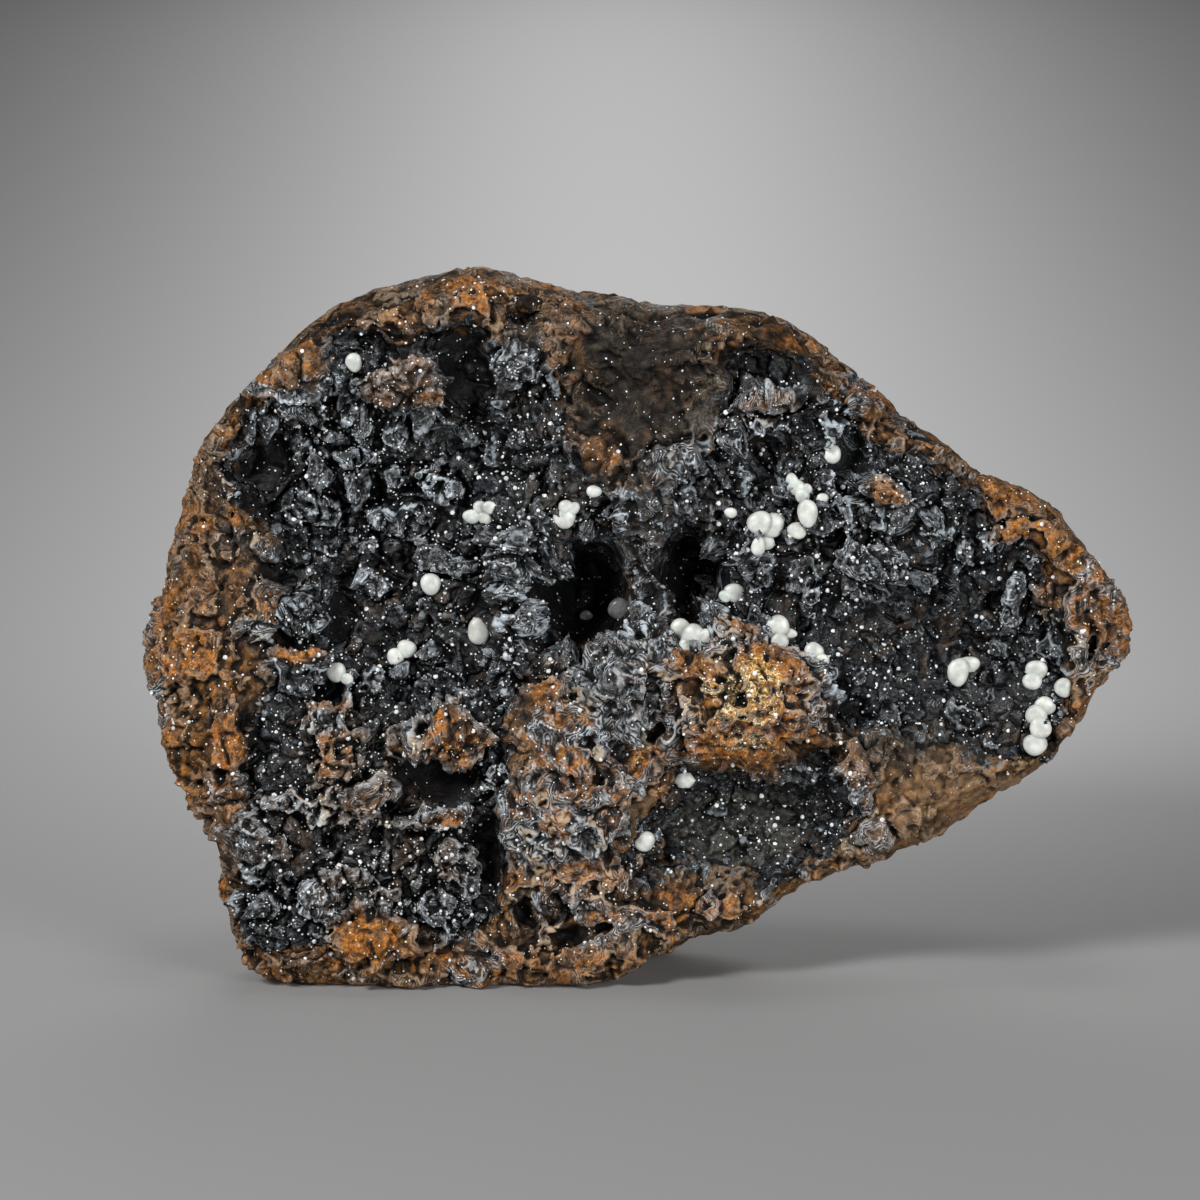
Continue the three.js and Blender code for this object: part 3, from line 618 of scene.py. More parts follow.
def share_inside(name, xs, zs, step):
    """How far each grid point is inside a node's outline: 0 outside, 1 well inside, smooth in between."""
    own = (~np.isnan(shoot(tree_of([name]), xs[::CELLS_PER_RAY], zs[::CELLS_PER_RAY]))).astype(float)
    own = blur(own, 2)
    x, z = np.meshgrid(xs, zs)
    coarse = CELLS_PER_RAY * step
    r = np.clip((z - zs[0]) / coarse, 0, own.shape[0] - 1.001)
    c = np.clip((x - xs[0]) / coarse, 0, own.shape[1] - 1.001)
    r0, c0 = r.astype(int), c.astype(int)
    u, v = c - c0, r - r0
    inside = (own[r0, c0] * (1 - u) + own[r0, c0 + 1] * u) * (1 - v)
    return inside + (own[r0 + 1, c0] * (1 - u) + own[r0 + 1, c0 + 1] * u) * v


def sheet_over(name, step):
    """The open sheet over one crust node, on a grid of the given step."""
    low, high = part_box(name)
    xs = np.arange(low.x - SHEET_MARGIN, high.x + SHEET_MARGIN, step)
    zs = np.arange(max(low.z - SHEET_MARGIN, LOWEST_SHEET), high.z + SHEET_MARGIN, step)
    x, z = np.meshgrid(xs, zs)
    inside = share_inside(name, xs, zs, step)
    keep = inside > SHEET_FROM
    cells = keep[:-1, :-1] & keep[1:, :-1] & keep[:-1, 1:] & keep[1:, 1:]
    cells = largest_patch(cells)
    used = np.zeros_like(keep)
    for dr in (0, 1):
        for dc in (0, 1):
            used[dr : dr + cells.shape[0], dc : dc + cells.shape[1]] |= cells
    index = np.full(keep.shape, -1)
    index[used] = np.arange(used.sum())
    dip = np.clip((DIP_FROM - inside) / (DIP_FROM - SHEET_FROM), 0, 1) ** 1.5
    depth = read_map(front_map, x, z) + DIP_DEPTH * dip
    points = np.stack([x[used], depth[used], z[used]], axis=1)
    rows, cols = np.nonzero(cells)
    corners = [index[rows, cols], index[rows, cols + 1], index[rows + 1, cols + 1], index[rows + 1, cols]]
    piece = new_piece(name + "_fine", points.tolist(), np.stack(corners, axis=1).tolist())
    store_numbers(piece.data, "inside", inside[used])
    return piece


WALL_DRAWN_IN = 0.92
WALL_DROP = 2.5 * MM
BACK_GAP = 0.5 * MM


def close_behind(piece):
    """Side walls from the sheet's open edge to a flat back, drawn in and down to stay inside the stone."""
    bm = bmesh.new()
    bm.from_mesh(piece.data)
    edges = [e for e in bm.edges if e.is_boundary]
    made = bmesh.ops.extrude_edge_only(bm, edges=edges)["geom"]
    back = max(v.co.y for v in bm.verts) + BACK_GAP
    back_verts = [g for g in made if isinstance(g, bmesh.types.BMVert)]
    middle = sum((v.co for v in back_verts), Vector()) / len(back_verts)
    for v in back_verts:
        v.co = middle + WALL_DRAWN_IN * (v.co - middle)
        v.co.y = back
        v.co.z -= WALL_DROP
    rim = [g for g in made if isinstance(g, bmesh.types.BMEdge) and g.is_boundary]
    filled = bmesh.ops.triangle_fill(bm, use_beauty=True, edges=rim, normal=(0, 1, 0))["geom"]
    bmesh.ops.recalc_face_normals(bm, faces=bm.faces)
    bm.to_mesh(piece.data)
    open_edges = sum(not e.is_manifold for e in bm.edges)
    bm.free()
    print(piece.name, "faces:", len(piece.data.polygons), "cap:", len(filled), "open edges:", open_edges)
    return piece


# %% [markdown]
# ## The crusts
# The crust is rough crystal almost everywhere, but calm in the right basin and in the lower pocket, where
# the crystals are fine and even. What was placed is stored on each sheet as numbers first, and then the
# relief grows on it. The grid is finest on the smallest crusts.

# %% Crust relief
CALM = [(960, 665, 110, 90, 0, 0.3), (740, 825, 110, 60, 0, 0.4), (955, 790, 110, 60, -25, 0.35)]
PATCHES = {"rust": RUST, "silver": SILVER, "black": BLACK, "grey": GREY, "calm": CALM}
RIM_BEHIND = 0.2


def mark(mesh, surface_share, raised, placed_share):
    """Stores on each point what was placed there, and returns its placed relief and its strength."""
    points = np.array([v.co for v in mesh.vertices])
    px, py = seen_at(points)
    found = {}
    for name, entries in PATCHES.items():
        found[name] = patches(px, py, entries) * surface_share
        store_numbers(mesh, name, found[name])
    calm = found["calm"]
    more = 0.13 * found["silver"] + 0.1 * found["rust"] + 0.15 * lump_cover(px, py)
    raised = raised + placed_share * more - 0.25 * found["black"] - 0.15 * calm
    store_numbers(mesh, "raised", raised)
    rim = read_map(lining_map, points[:, 0], points[:, 2])
    store_numbers(mesh, "rim", rim * surface_share + RIM_BEHIND * (1 - surface_share))
    return placed_relief(px, py) * surface_share, 1 - calm


def relief_values(seed, near, far, **kinds):
    """Inputs for the relief tree, from each kind's size and height in millimetres."""
    values = {"Seed": seed, "Near": near, "Far": far}
    for kind, (size, height) in kinds.items():
        values[kind + " Size"] = size * MM
        values[kind + " Height"] = height * MM
    return values


CRUST_RELIEF = relief_values(
    0.0, 14, 150, Plate=(6.0, 1.2), Flake=(2.4, 0.5), Chunk=(2.6, 1.0), Nub=(1.1, 0.3), Ridge=(4.0, 0.3),
    Pit=(5.0, 1.5), Grain=(0.5, 0.15),
)  # fmt: skip
CRUST_STEPS = (0.17, 0.15, 0.12, 0.1)


def numbers_of(mesh, name):
    """The stored number of each point."""
    return np.array([d.value for d in mesh.attributes[name].data])


def grow_crust(name, step):
    """The sheet over one crust node with its relief, still open behind."""
    crust = sheet_over(name, step)
    inside = numbers_of(crust.data, "inside")
    edge_share = np.clip(inside * 1.6, 0.2, 1)
    placed, strength = mark(crust.data, np.ones(len(inside)), -0.08, 1.0)
    store_numbers(crust.data, "strength", edge_share * strength)
    store_numbers(crust.data, "placed", edge_share * placed)
    return apply_tree(crust, RELIEF, CRUST_RELIEF)


crust_pieces = [grow_crust(name, step * MM) for name, step in zip(CRUSTS, CRUST_STEPS)]
print("crust faces:", [len(crust.data.polygons) for crust in crust_pieces])

# %% [markdown]
# ## The stone
# The limonite is one lump, rough all over and broken open in front. Its solid is joined with the crusts'
# solids and remeshed, which closes the clearances between them and gives even faces that relief can grow
# on. Where a crust lies on it the surface is pushed back out of the way. Where the stone itself shows in
# front, its faces are cut finer, so that the detail goes where a viewer looks.

# %% Stone body
STONE_VOXEL = 1.1 * MM
CRUST_SWELL = 0.3 * MM


def merged_node(name, grow):
    """A node's mesh with its loose triangles joined up, swollen a little along its normals."""
    bm = bmesh.new()
    bm.from_mesh(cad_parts[name].data)
    bmesh.ops.remove_doubles(bm, verts=bm.verts, dist=1e-6)
    bm.normal_update()
    for v in bm.verts:
        v.co += v.normal * grow
    verts = [v.co.copy() for v in bm.verts]
    faces = [[v.index for v in f.verts] for f in bm.faces]
    bm.free()
    return verts, faces


def stone_body():
    """The whole lump, crusts included, as one closed mesh of even faces."""
    verts, faces = [], []
    for name, grow in [("limonite_matrix", 0.0), *((crust, CRUST_SWELL) for crust in CRUSTS)]:
        more, more_faces = merged_node(name, grow)
        faces += [[len(verts) + i for i in face] for face in more_faces]
        verts += more
    stone = new_piece("limonite_fine", verts, faces)
    remesh = stone.modifiers.new("remesh", "REMESH")
    remesh.mode = "VOXEL"
    remesh.voxel_size = STONE_VOXEL
    baked = bpy.data.meshes.new_from_object(stone.evaluated_get(bpy.context.evaluated_depsgraph_get()))
    stone.modifiers.remove(remesh)
    stone.data = baked
    return stone


stone = stone_body()
print("even faces on the stone:", len(stone.data.polygons))

# %% [markdown]
# ## Fine faces where a viewer looks
# Relief only shows where there are enough points to carry it. Cutting every face would waste them on the
# back, so only the faces that look towards the viewer, and that no crust covers, are cut in four along each
# edge.

# %% Fine faces in front
FINE_DEPTH = 4 * MM
FINE_FACING = 0.15
COVERED_FROM = 0.62
CUTS = 3


def smooth(bm, rounds):
    """Relaxes a mesh and keeps it above the ground."""
    for _ in range(rounds):
        bmesh.ops.smooth_vert(
            bm, verts=bm.verts, factor=0.5, use_axis_x=True, use_axis_y=True, use_axis_z=True
        )
    for v in bm.verts:
        v.co.z = max(v.co.z, 0.0)


def cut_front_finer(stone):
    """Cuts the faces that a viewer in front sees and no crust covers into smaller ones."""
    bm = bmesh.new()
    bm.from_mesh(stone.data)
    smooth(bm, 2)
    bm.normal_update()
    centres = np.array([f.calc_center_median() for f in bm.faces])
    facing = -np.array([f.normal for f in bm.faces]) @ np.array(SIGHT)
    ahead = centres[:, 1] < read_map(front_map, centres[:, 0], centres[:, 2]) + FINE_DEPTH
    covered = read_map(lined_map, centres[:, 0], centres[:, 2]) > COVERED_FROM
    chosen = [f for f, yes in zip(bm.faces, ahead & (facing > FINE_FACING) & ~covered) if yes]
    edges = list({e for f in chosen for e in f.edges})
    bmesh.ops.subdivide_edges(bm, edges=edges, cuts=CUTS, use_grid_fill=True)
    smooth(bm, 4)
    bm.to_mesh(stone.data)
    bm.free()
    return len(chosen)


fine_count = cut_front_finer(stone)
triangles = sum(len(p.vertices) - 2 for p in stone.data.polygons)
print("faces cut finer:", fine_count, "triangles now:", triangles)

# %% [markdown]
# ## The stone's own relief
# The stone's relief is lower than the crust's. It fades out towards the foot, which has to stay flat, and
# towards the outline, which has to stay near the frame's own. Where a crust lies over the stone, the stone's
# front is pushed back, so that only one of the two is seen.

# %% Stone relief
PUSH_DEPTH = 2.8 * MM
FRONT_LAYER = 3 * MM
FOOT_CALM = 1.2 * MM
FADE_BACK = 8 * MM
STONE_RELIEF = relief_values(
    0.2, 8, 40, Plate=(6.0, 0.7), Flake=(2.4, 0.35), Chunk=(3.6, 0.6), Nub=(1.5, 0.22), Ridge=(4.5, 0.35),
    Pit=(4.0, 0.9), Grain=(0.7, 0.18),
)  # fmt: skip


def push_back(stone):
    """Moves the stone's front out of the crusts' way, and returns how far each point went, from 0 to 1."""
    points = np.array([v.co for v in stone.data.vertices])
    push = np.clip((read_map(lined_map, points[:, 0], points[:, 2]) - 0.5) / 0.4, 0, 1)
    push *= points[:, 1] < read_map(front_map, points[:, 0], points[:, 2]) + FRONT_LAYER
    points[:, 1] += push * PUSH_DEPTH
    stone.data.vertices.foreach_set("co", points.ravel())
    stone.data.update()
    return points, push


def grow_stone(stone):
    """Relief that is strongest on the front, calm on the foot and low at the outline."""
    points, push = push_back(stone)
    above_foot = np.clip(points[:, 2] / FOOT_CALM, 0, 1)
    behind_front = points[:, 1] - read_map(front_map, points[:, 0], points[:, 2])
    normals = np.empty(points.size)
    stone.data.vertices.foreach_get("normal", normals)
    towards_viewer = -normals.reshape(-1, 3) @ np.array(SIGHT)
    outline = np.clip(0.4 + 1.2 * towards_viewer, 0.4, 1)
    placed, strength = mark(stone.data, np.clip(1.6 - behind_front / FADE_BACK, 0, 1), 0.02, 0.5)
    store_numbers(stone.data, "strength", above_foot * strength * outline * (1 - 0.8 * push))
    store_numbers(stone.data, "placed", above_foot * placed * outline * (1 - push))
    return apply_tree(stone, RELIEF, STONE_RELIEF)


grow_stone(stone)
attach(stone, "root")
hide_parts("limonite_matrix")
print("points on the stone:", len(stone.data.vertices))

# %% [markdown]
# ## Materials
# The crust is black crystal with silver fibres and painted glints for tiny glittering faces, and the stone is
# rusty and dull. Both materials read the numbers that the relief stored: what stands out gets painted
# highlights, what lies deep gets painted shade, and the placed patches bring rust and silver. Three effects
# that several steps or materials need are node groups: painted glints, strokes and hairs.

# %% Material helpers
def read_number(tree, name):
    """A number that the piece carries at each point."""
    return put(tree, "ShaderNodeAttribute", attribute_name=name).outputs["Fac"]


def object_place(tree):
    """Where a point lies on its piece, in metres."""
    return put(tree, "ShaderNodeTexCoord").outputs["Object"]


def mix(tree, amount, first, second, blend="MIX"):
    """The first colour where the amount is 0 and the second where it is 1."""
    inputs = {0: amount, 6: first, 7: second}
    return put(tree, "ShaderNodeMix", inputs, data_type="RGBA", blend_type=blend).outputs[2]


def colour_ramp(tree, value, stops):
    """A colour for each value, from stops of position and colour."""
    made = put(tree, "ShaderNodeValToRGB", {"Fac": value})
    elements = made.color_ramp.elements
    while len(elements) < len(stops):
        elements.new(0.5)
    for element, (position, colour) in zip(elements, stops):
        element.position = position
        element.color = (*colour, 1)
    return made.outputs["Color"]


def laid_over(tree, under, share, value, stops):
    """A colour with the colours of a ramp laid over it."""
    return mix(tree, share, under, colour_ramp(tree, value, stops))


def new_group(name, numbers, output, kind="NodeSocketFloat"):
    """An empty shader node group with named number inputs and one output."""
    group = bpy.data.node_groups.new(name, "ShaderNodeTree")
    for title, value in numbers.items():
        group.interface.new_socket(title, in_out="INPUT", socket_type="NodeSocketFloat").default_value = value
    group.interface.new_socket(output, in_out="OUTPUT", socket_type=kind)
    return group, put(group, "NodeGroupInput").outputs


def painted_glint_group():
    """Scattered bright points, as a mask: painted highlights where tiny crystal faces would catch the light.
    """
    group, given = new_group("Painted glints", {"Size": 0.3 * MM, "Share": 0.05}, "Mask")
    where = object_place(group)
    scale = maths(group, "DIVIDE", 1.0, given["Size"])
    cells = put(group, "ShaderNodeTexVoronoi", {"Vector": where, "Scale": scale})
    picked = put(group, "ShaderNodeSeparateColor", {"Color": cells.outputs["Color"]}).outputs
    chosen = maths(group, "LESS_THAN", picked[0], given["Share"])
    radius = maths(group, "MULTIPLY_ADD", picked[1], 0.25, 0.15)
    near = maths(group, "LESS_THAN", cells.outputs["Distance"], radius)
    put(group, "NodeGroupOutput", {"Mask": maths(group, "MULTIPLY", chosen, near)})
    return group


def stroke_group():
    """Thin strokes along a phase that rises across a surface, from -1 for dark lines to 1 for bright ones;
    partly painted light and shade of fine ridges.
    """
    group, given = new_group("Strokes", {"Phase": 0.0, "Waver": 0.35}, "Strokes")
    where = object_place(group)
    waver = noise(group, where, 0.9 * MM, 2.0, 0.5)
    phase = maths(group, "MULTIPLY_ADD", waver, given["Waver"], given["Phase"])
    wave = maths(group, "SINE", maths(group, "MULTIPLY", phase, 2 * math.pi))
    broken = noise(group, where, 1.2 * MM, 3.0, 0.6, 0.9)
    stroke = maths(group, "MULTIPLY", wave, ramp(group, broken, 0.36, 0.5, 0.1, 1.0))
    put(group, "NodeGroupOutput", {"Strokes": stroke})
    return group


def hair_group():
    """Thin curled lines, as a mask: the fine fibres that cover plates and hollows alike."""
    group, given = new_group("Hairs", {"Size": 0.9 * MM, "Width": 0.04}, "Mask")
    where = object_place(group)
    scale = maths(group, "DIVIDE", 1.0, given["Size"])
    inputs = {"Vector": where, "Scale": scale, "Detail": 2.0, "Roughness": 0.5, "Distortion": 0.8}
    swirl = put(group, "ShaderNodeTexNoise", inputs).outputs[0]
    away = maths(group, "ABSOLUTE", maths(group, "SUBTRACT", swirl, 0.5))
    line = ramp(group, maths(group, "DIVIDE", away, given["Width"]), 1.0, 0.35)
    broken = noise(group, where, 1.0 * MM, 2.0, 0.6, 0.6)
    put(group, "NodeGroupOutput", {"Mask": maths(group, "MULTIPLY", line, ramp(group, broken, 0.4, 0.55))})
    return group


PAINTED_GLINTS = painted_glint_group()
STROKES = stroke_group()
HAIRS = hair_group()


def connect(tree, node, **sockets):
    """Feeds sockets whose names are written with underscores for spaces."""
    for name, value in sockets.items():
        feed(tree, node.inputs[name.replace("_", " ")], value)


def from_group(tree, group, **inputs):
    """A node group's output, with its inputs fed."""
    made = put(tree, "ShaderNodeGroup", node_tree=group)
    connect(tree, made, **inputs)
    return made.outputs[0]


def new_material(name):
    """A material with one Principled shader, its tree and that shader."""
    material = bpy.data.materials.new(name)
    material.use_nodes = True
    tree = material.node_tree
    tree.nodes.clear()
    shader = put(tree, "ShaderNodeBsdfPrincipled")
    put(tree, "ShaderNodeOutputMaterial", {"Surface": shader.outputs[0]})
    return material, tree, shader


def times(tree, *values):
    """The product of several numbers."""
    total = values[0]
    for value in values[1:]:
        total = maths(tree, "MULTIPLY", total, value)
    return total


def rest_of(tree, value):
    """What is left of 1."""
    return maths(tree, "SUBTRACT", 1.0, value)


def dimmed(tree, colour, amount):
    """A colour times a grey of the given brightness."""
    grey = put(tree, "ShaderNodeCombineColor", {0: amount, 1: amount, 2: amount}).outputs[0]
    return mix(tree, 1.0, colour, grey, "MULTIPLY")


print("shared effects:", [group.name for group in (PAINTED_GLINTS, STROKES, HAIRS)])

# %% [markdown]
# ## The ground colours
# Under everything else lies black crystal on the crust and brown limonite on the stone. Real black crystal
# is never one black: some chunks are steel grey, some brownish, the upper middle is smoky and the calm
# basin is olive. The stone goes from rusty brown to nearly black, with plain tan slopes. Each of these is a
# short ramp of colours that fine noise runs through, because a single colour would look like paint.

# %% Ground colours
BLUE_BLACK = [(0.38, (0.002, 0.003, 0.005)), (0.6, (0.006, 0.009, 0.013)), (0.72, (0.022, 0.03, 0.04))]
STEEL = [(0.3, (0.005, 0.005, 0.005)), (0.55, (0.02, 0.02, 0.02)), (0.72, (0.08, 0.08, 0.08))]
BROWNISH = [(0.3, (0.012, 0.008, 0.005)), (0.6, (0.06, 0.036, 0.02)), (0.72, (0.13, 0.085, 0.05))]
SMOKY = [(0.3, (0.02, 0.017, 0.014)), (0.55, (0.065, 0.055, 0.045)), (0.7, (0.15, 0.13, 0.11))]
OLIVE = [(0.3, (0.02, 0.02, 0.015)), (0.55, (0.055, 0.053, 0.038)), (0.7, (0.12, 0.115, 0.085))]
RUSTY_BROWN = [(0.34, (0.015, 0.009, 0.005)), (0.5, (0.1, 0.045, 0.014)), (0.66, (0.32, 0.15, 0.045))]
DARK_BROWN = [(0.34, (0.008, 0.007, 0.006)), (0.55, (0.045, 0.033, 0.023)), (0.7, (0.12, 0.095, 0.07))]
TAN = [(0.3, (0.06, 0.032, 0.015)), (0.55, (0.22, 0.125, 0.058)), (0.7, (0.37, 0.235, 0.12))]
COLD_SKIN = [(0.36, (0.004, 0.005, 0.006)), (0.52, (0.014, 0.016, 0.019)), (0.66, (0.06, 0.065, 0.071))]
WARM_SKIN = [(0.36, (0.025, 0.015, 0.009)), (0.52, (0.1, 0.058, 0.03)), (0.66, (0.22, 0.14, 0.08))]
OCHRE = [(0.34, (0.1, 0.028, 0.004)), (0.5, (0.36, 0.115, 0.01)), (0.66, (0.66, 0.28, 0.035))]
GOLD = [(0.32, (0.12, 0.045, 0.008)), (0.48, (0.42, 0.18, 0.025)), (0.62, (0.95, 0.6, 0.16))]


def black_crystal(tree, at):
    """The crust's ground: blue-black chunks, some of them steel grey, brownish, smoky or olive."""
    colour = colour_ramp(tree, at.fine, BLUE_BLACK)
    colour = laid_over(tree, colour, ramp(tree, at.tone, 0.5, 0.75), at.fine, STEEL)
    brown_share = times(tree, ramp(tree, at.tone, 0.42, 0.3), ramp(tree, at.cloud, 0.42, 0.58))
    colour = laid_over(tree, colour, brown_share, at.fine, BROWNISH)
    colour = laid_over(tree, colour, ramp(tree, at.grey, 0.1, 0.7, 0.0, 0.8), at.fine, SMOKY)
    return laid_over(tree, colour, ramp(tree, at.calm, 0.32, 0.4, 0.0, 0.75), at.fine, OLIVE)


def brown_stone(tree, at):
    """The stone's ground: rusty limonite, darker in places and plain tan on the open slopes."""
    colour = colour_ramp(tree, at.mottle, RUSTY_BROWN)
    dark_cloud = ramp(tree, at.cloud, 0.5, 0.62, 0.0, 0.8)
    dark_share = maths(tree, "MAXIMUM", dark_cloud, ramp(tree, at.grey, 0.2, 0.6))
    colour = laid_over(tree, colour, dark_share, at.mottle, DARK_BROWN)
    open_slope = ramp(tree, at.calm, 0.1, 0.3, 0.0, 0.85)
    open_slope = times(tree, open_slope, ramp(tree, at.grey, 0.1, 0.6, 1.0, 0.25))
    return laid_over(tree, colour, open_slope, at.mottle, TAN)


def ground_colour(tree, at):
    """Black crystal where the lump is lined and brown stone elsewhere, with ochre and gold on both."""
    skin = colour_ramp(tree, at.mottle, COLD_SKIN)
    skin = laid_over(tree, skin, ramp(tree, at.rust, 0.0, 0.25), at.mottle, WARM_SKIN)
    on_plates = times(tree, ramp(tree, at.plate, 0.0, 0.03), 0.8)
    crystal = mix(tree, on_plates, black_crystal(tree, at), skin)
    colour = mix(tree, at.lined, brown_stone(tree, at), crystal)
    ochre = colour_ramp(tree, at.fine, OCHRE)
    ochre = laid_over(tree, ochre, ramp(tree, at.rust, 1.0, 1.3, 0.0, 0.75), at.fine, GOLD)
    return mix(tree, at.rusty, colour, ochre)


# %% [markdown]
# ## What lies over the ground
# Crust and stone share one recipe with different strengths, because the real crust thins out into the stone
# without a line. Over the ground come bands and hairs, the layered edges of the crystals; the bright and dark
# of the bands and strokes is partly painted light and shade of fine ridges. Then come the pale rims and
# crests, which are painted highlights. Painted shade darkens the steep walls, the gaps and the black holes,
# and the painted glints come last, so that they stay bright in the dark. Working from the ground up in this
# order follows how the real layers lie, with the painted light and shade laid over them.

# %% Layers over the ground
# Bands: fibre colours whose bright and dark parts are partly painted light and shade of fine ridges.
DARK_BANDS = [(0.1, (0.02, 0.02, 0.021)), (0.5, (0.11, 0.117, 0.123))]
BRIGHT_BANDS = [(0.8, (0.36, 0.385, 0.4)), (1.0, (0.62, 0.66, 0.69))]
DARK_LINE = (0.008, 0.008, 0.009, 1)
GOLD_HAIR = (1.0, 0.8, 0.42, 1)
DULL_PALE, BLUE_PALE, TAN_PALE = (0.19, 0.19, 0.19, 1), (0.5, 0.56, 0.61, 1), (0.36, 0.21, 0.09, 1)
# Painted highlights: the colours of the pale rims round the plates, and of the glints.
COLD_RIM_HIGHLIGHT, WARM_RIM_HIGHLIGHT = (0.5, 0.57, 0.62, 1), (0.42, 0.3, 0.18, 1)
WHITE_PAINTED_GLINT, GOLD_PAINTED_GLINT = (0.8, 0.83, 0.85, 1), (1.0, 0.9, 0.62, 1)


def rusty_share(tree, at):
    """How much ochre lies at a place: on the placed patches, and strewn over the bare stone."""
    placed = times(tree, ramp(tree, at.rust, 0.1, 0.8), ramp(tree, at.mottle, 0.4, 0.56, 0.15, 1.0))
    placed = times(tree, placed, ramp(tree, at.plate, 0.0, 0.06, 0.3, 1.0))
    strewn = ramp(tree, noise(tree, at.where, 5 * MM, 4.0, 0.6, 0.7), 0.5, 0.6)
    strewn = times(tree, strewn, maths(tree, "SUBTRACT", 0.7, at.lined))
    strewn = times(tree, strewn, ramp(tree, at.mottle, 0.42, 0.56), at.plain)
    return maths(tree, "MAXIMUM", placed, strewn)


def foil_share(tree, at, stroke_share):
    """How silvery a place is, with the given share on plain chunks."""
    foil = ramp(tree, at.tone, 0.5, 0.7, stroke_share, 0.6)
    foil = maths(tree, "MAXIMUM", ramp(tree, at.silver, 0.0, 0.7), foil)
    foil = times(tree, foil, maths(tree, "MULTIPLY_ADD", at.calm, -1.3, 1.0))
    return times(tree, foil, ramp(tree, at.rusty, 0.0, 1.0, 1.0, 0.5))


def pale_colour(tree, at):
    """Pale colour of the hairs, and of the painted highlights on crests and bright strokes: blue-grey on
    crystal, tan on rust and stone.
    """
    pale = mix(tree, ramp(tree, at.mottle, 0.4, 0.6), DULL_PALE, BLUE_PALE)
    tan = times(tree, ramp(tree, at.silver, 0.4, 0.1, 0.0, 0.8), at.unlined)
    return mix(tree, maths(tree, "MAXIMUM", times(tree, at.rusty, 0.8), tan), pale, TAN_PALE)


def with_fibres(tree, at, colour):
    """Bright and dark bands along the plates' edges, then fine hairs and single bright strokes; the bands and
    strokes are partly painted light and shade.
    """
    band = times(tree, ramp(tree, at.plate, 0.02, 0.027), ramp(tree, at.plate, 0.17, 0.11))
    band = times(tree, band, ramp(tree, at.silver, 0.1, 0.5, 0.2, 1.0))
    band = times(tree, band, ramp(tree, at.mottle, 0.38, 0.5, 0.3, 1.0), at.plain)
    band = times(tree, band, ramp(tree, at.rusty, 0.15, 0.7, 1.0, 0.2))
    brightness = maths(tree, "MULTIPLY_ADD", at.stroke, 0.5, 0.5)
    colour = laid_over(tree, colour, band, brightness, DARK_BANDS + BRIGHT_BANDS)
    # Dark strokes: partly painted shade between fine ridges.
    colour = mix(tree, times(tree, ramp(tree, at.stroke, -0.3, -0.9), at.foil, 0.6), colour, DARK_LINE)
    hairs = times(tree, at.hair, ramp(tree, at.plate, -0.02, 0.03, 0.25, 0.65), at.plain)
    colour = mix(tree, hairs, colour, at.pale)
    colour = mix(tree, times(tree, at.hair, ramp(tree, at.rust, 1.0, 1.2), 0.9), colour, GOLD_HAIR)
    # Bright strokes: painted highlights on fine ridges, kept out of the gaps.
    bright = times(tree, ramp(tree, at.stroke, 0.45, 0.95), at.foil, ramp(tree, at.near_mm, -0.25, 0.1))
    return mix(tree, bright, colour, at.pale)


def with_painted_rim_highlights(tree, at, colour):
    """Painted highlights: a pale line round each plate, and pale crests where the surface stands out."""
    rim_highlight = times(tree, ramp(tree, at.plate, 0.02, 0.027), ramp(tree, at.plate, 0.052, 0.036))
    rim_highlight = times(tree, rim_highlight, ramp(tree, at.mottle, 0.36, 0.5, 0.15, 1.0), at.plain)
    rim_highlight = times(tree, rim_highlight, ramp(tree, at.silver, 0.0, 0.5, 0.3, 1.0))
    warm = maths(tree, "MAXIMUM", ramp(tree, at.rust, 0.0, 0.3, 0.0, 0.8), at.unlined)
    colour = mix(tree, rim_highlight, colour, mix(tree, warm, COLD_RIM_HIGHLIGHT, WARM_RIM_HIGHLIGHT))
    crest_highlight = times(tree, ramp(tree, at.near_mm, 0.2, 0.45), ramp(tree, at.mottle, 0.45, 0.6))
    crest_highlight = times(tree, crest_highlight, maths(tree, "MULTIPLY_ADD", at.foil, 0.4, 0.12))
    return mix(tree, crest_highlight, colour, at.pale)


def with_painted_shade(tree, at, colour):
    """Painted shade: dark steep walls round the plates, dark gaps and hollows, and black holes."""
    wall = times(tree, ramp(tree, at.plate, -0.004, 0.004), ramp(tree, at.plate, 0.026, 0.018), at.plain)
    colour = dimmed(tree, colour, maths(tree, "MULTIPLY_ADD", wall, -0.8, 1.0))
    hollow = maths(tree, "MULTIPLY_ADD", at.lined, -0.3, at.far_mm)
    colour = dimmed(tree, colour, ramp(tree, hollow, -1.3, 0.1, 0.05, 1.0))
    gap = maths(tree, "MULTIPLY_ADD", at.lined, -0.12, at.near_mm)
    colour = dimmed(tree, colour, ramp(tree, gap, -0.35, 0.04, 0.06, 1.0))
    return dimmed(tree, colour, ramp(tree, at.black, 0.1, 0.8, 1.0, 0.1))


def with_painted_glints(tree, at, colour, painted_glint_share):
    """Painted highlights of tiny crystal faces, golden and closer together on the golden mound."""
    share = ramp(tree, at.rust, 1.0, 1.2, painted_glint_share, 0.14)
    painted_glint = from_group(tree, PAINTED_GLINTS, Size=0.32 * MM, Share=share)
    painted_glint = times(tree, painted_glint, ramp(tree, at.calm, 0.1, 0.3, 1.0, 0.3))
    return mix(tree, painted_glint, colour, mix(tree, ramp(tree, at.rust, 0.1, 0.5), WHITE_PAINTED_GLINT, GOLD_PAINTED_GLINT))


# %% [markdown]
# ## Two materials from one recipe
# All masks and noises that the layers ask for are made once for each material and kept under plain names.
# The crust gets more strokes, more painted glints and a glossier skin than the stone, and its black crystal
# sets in further out.

# %% The lump's two materials
LUMP_NUMBERS = ("near_mm", "far_mm", "phase", "plate", "tone", "rim", *PATCHES)


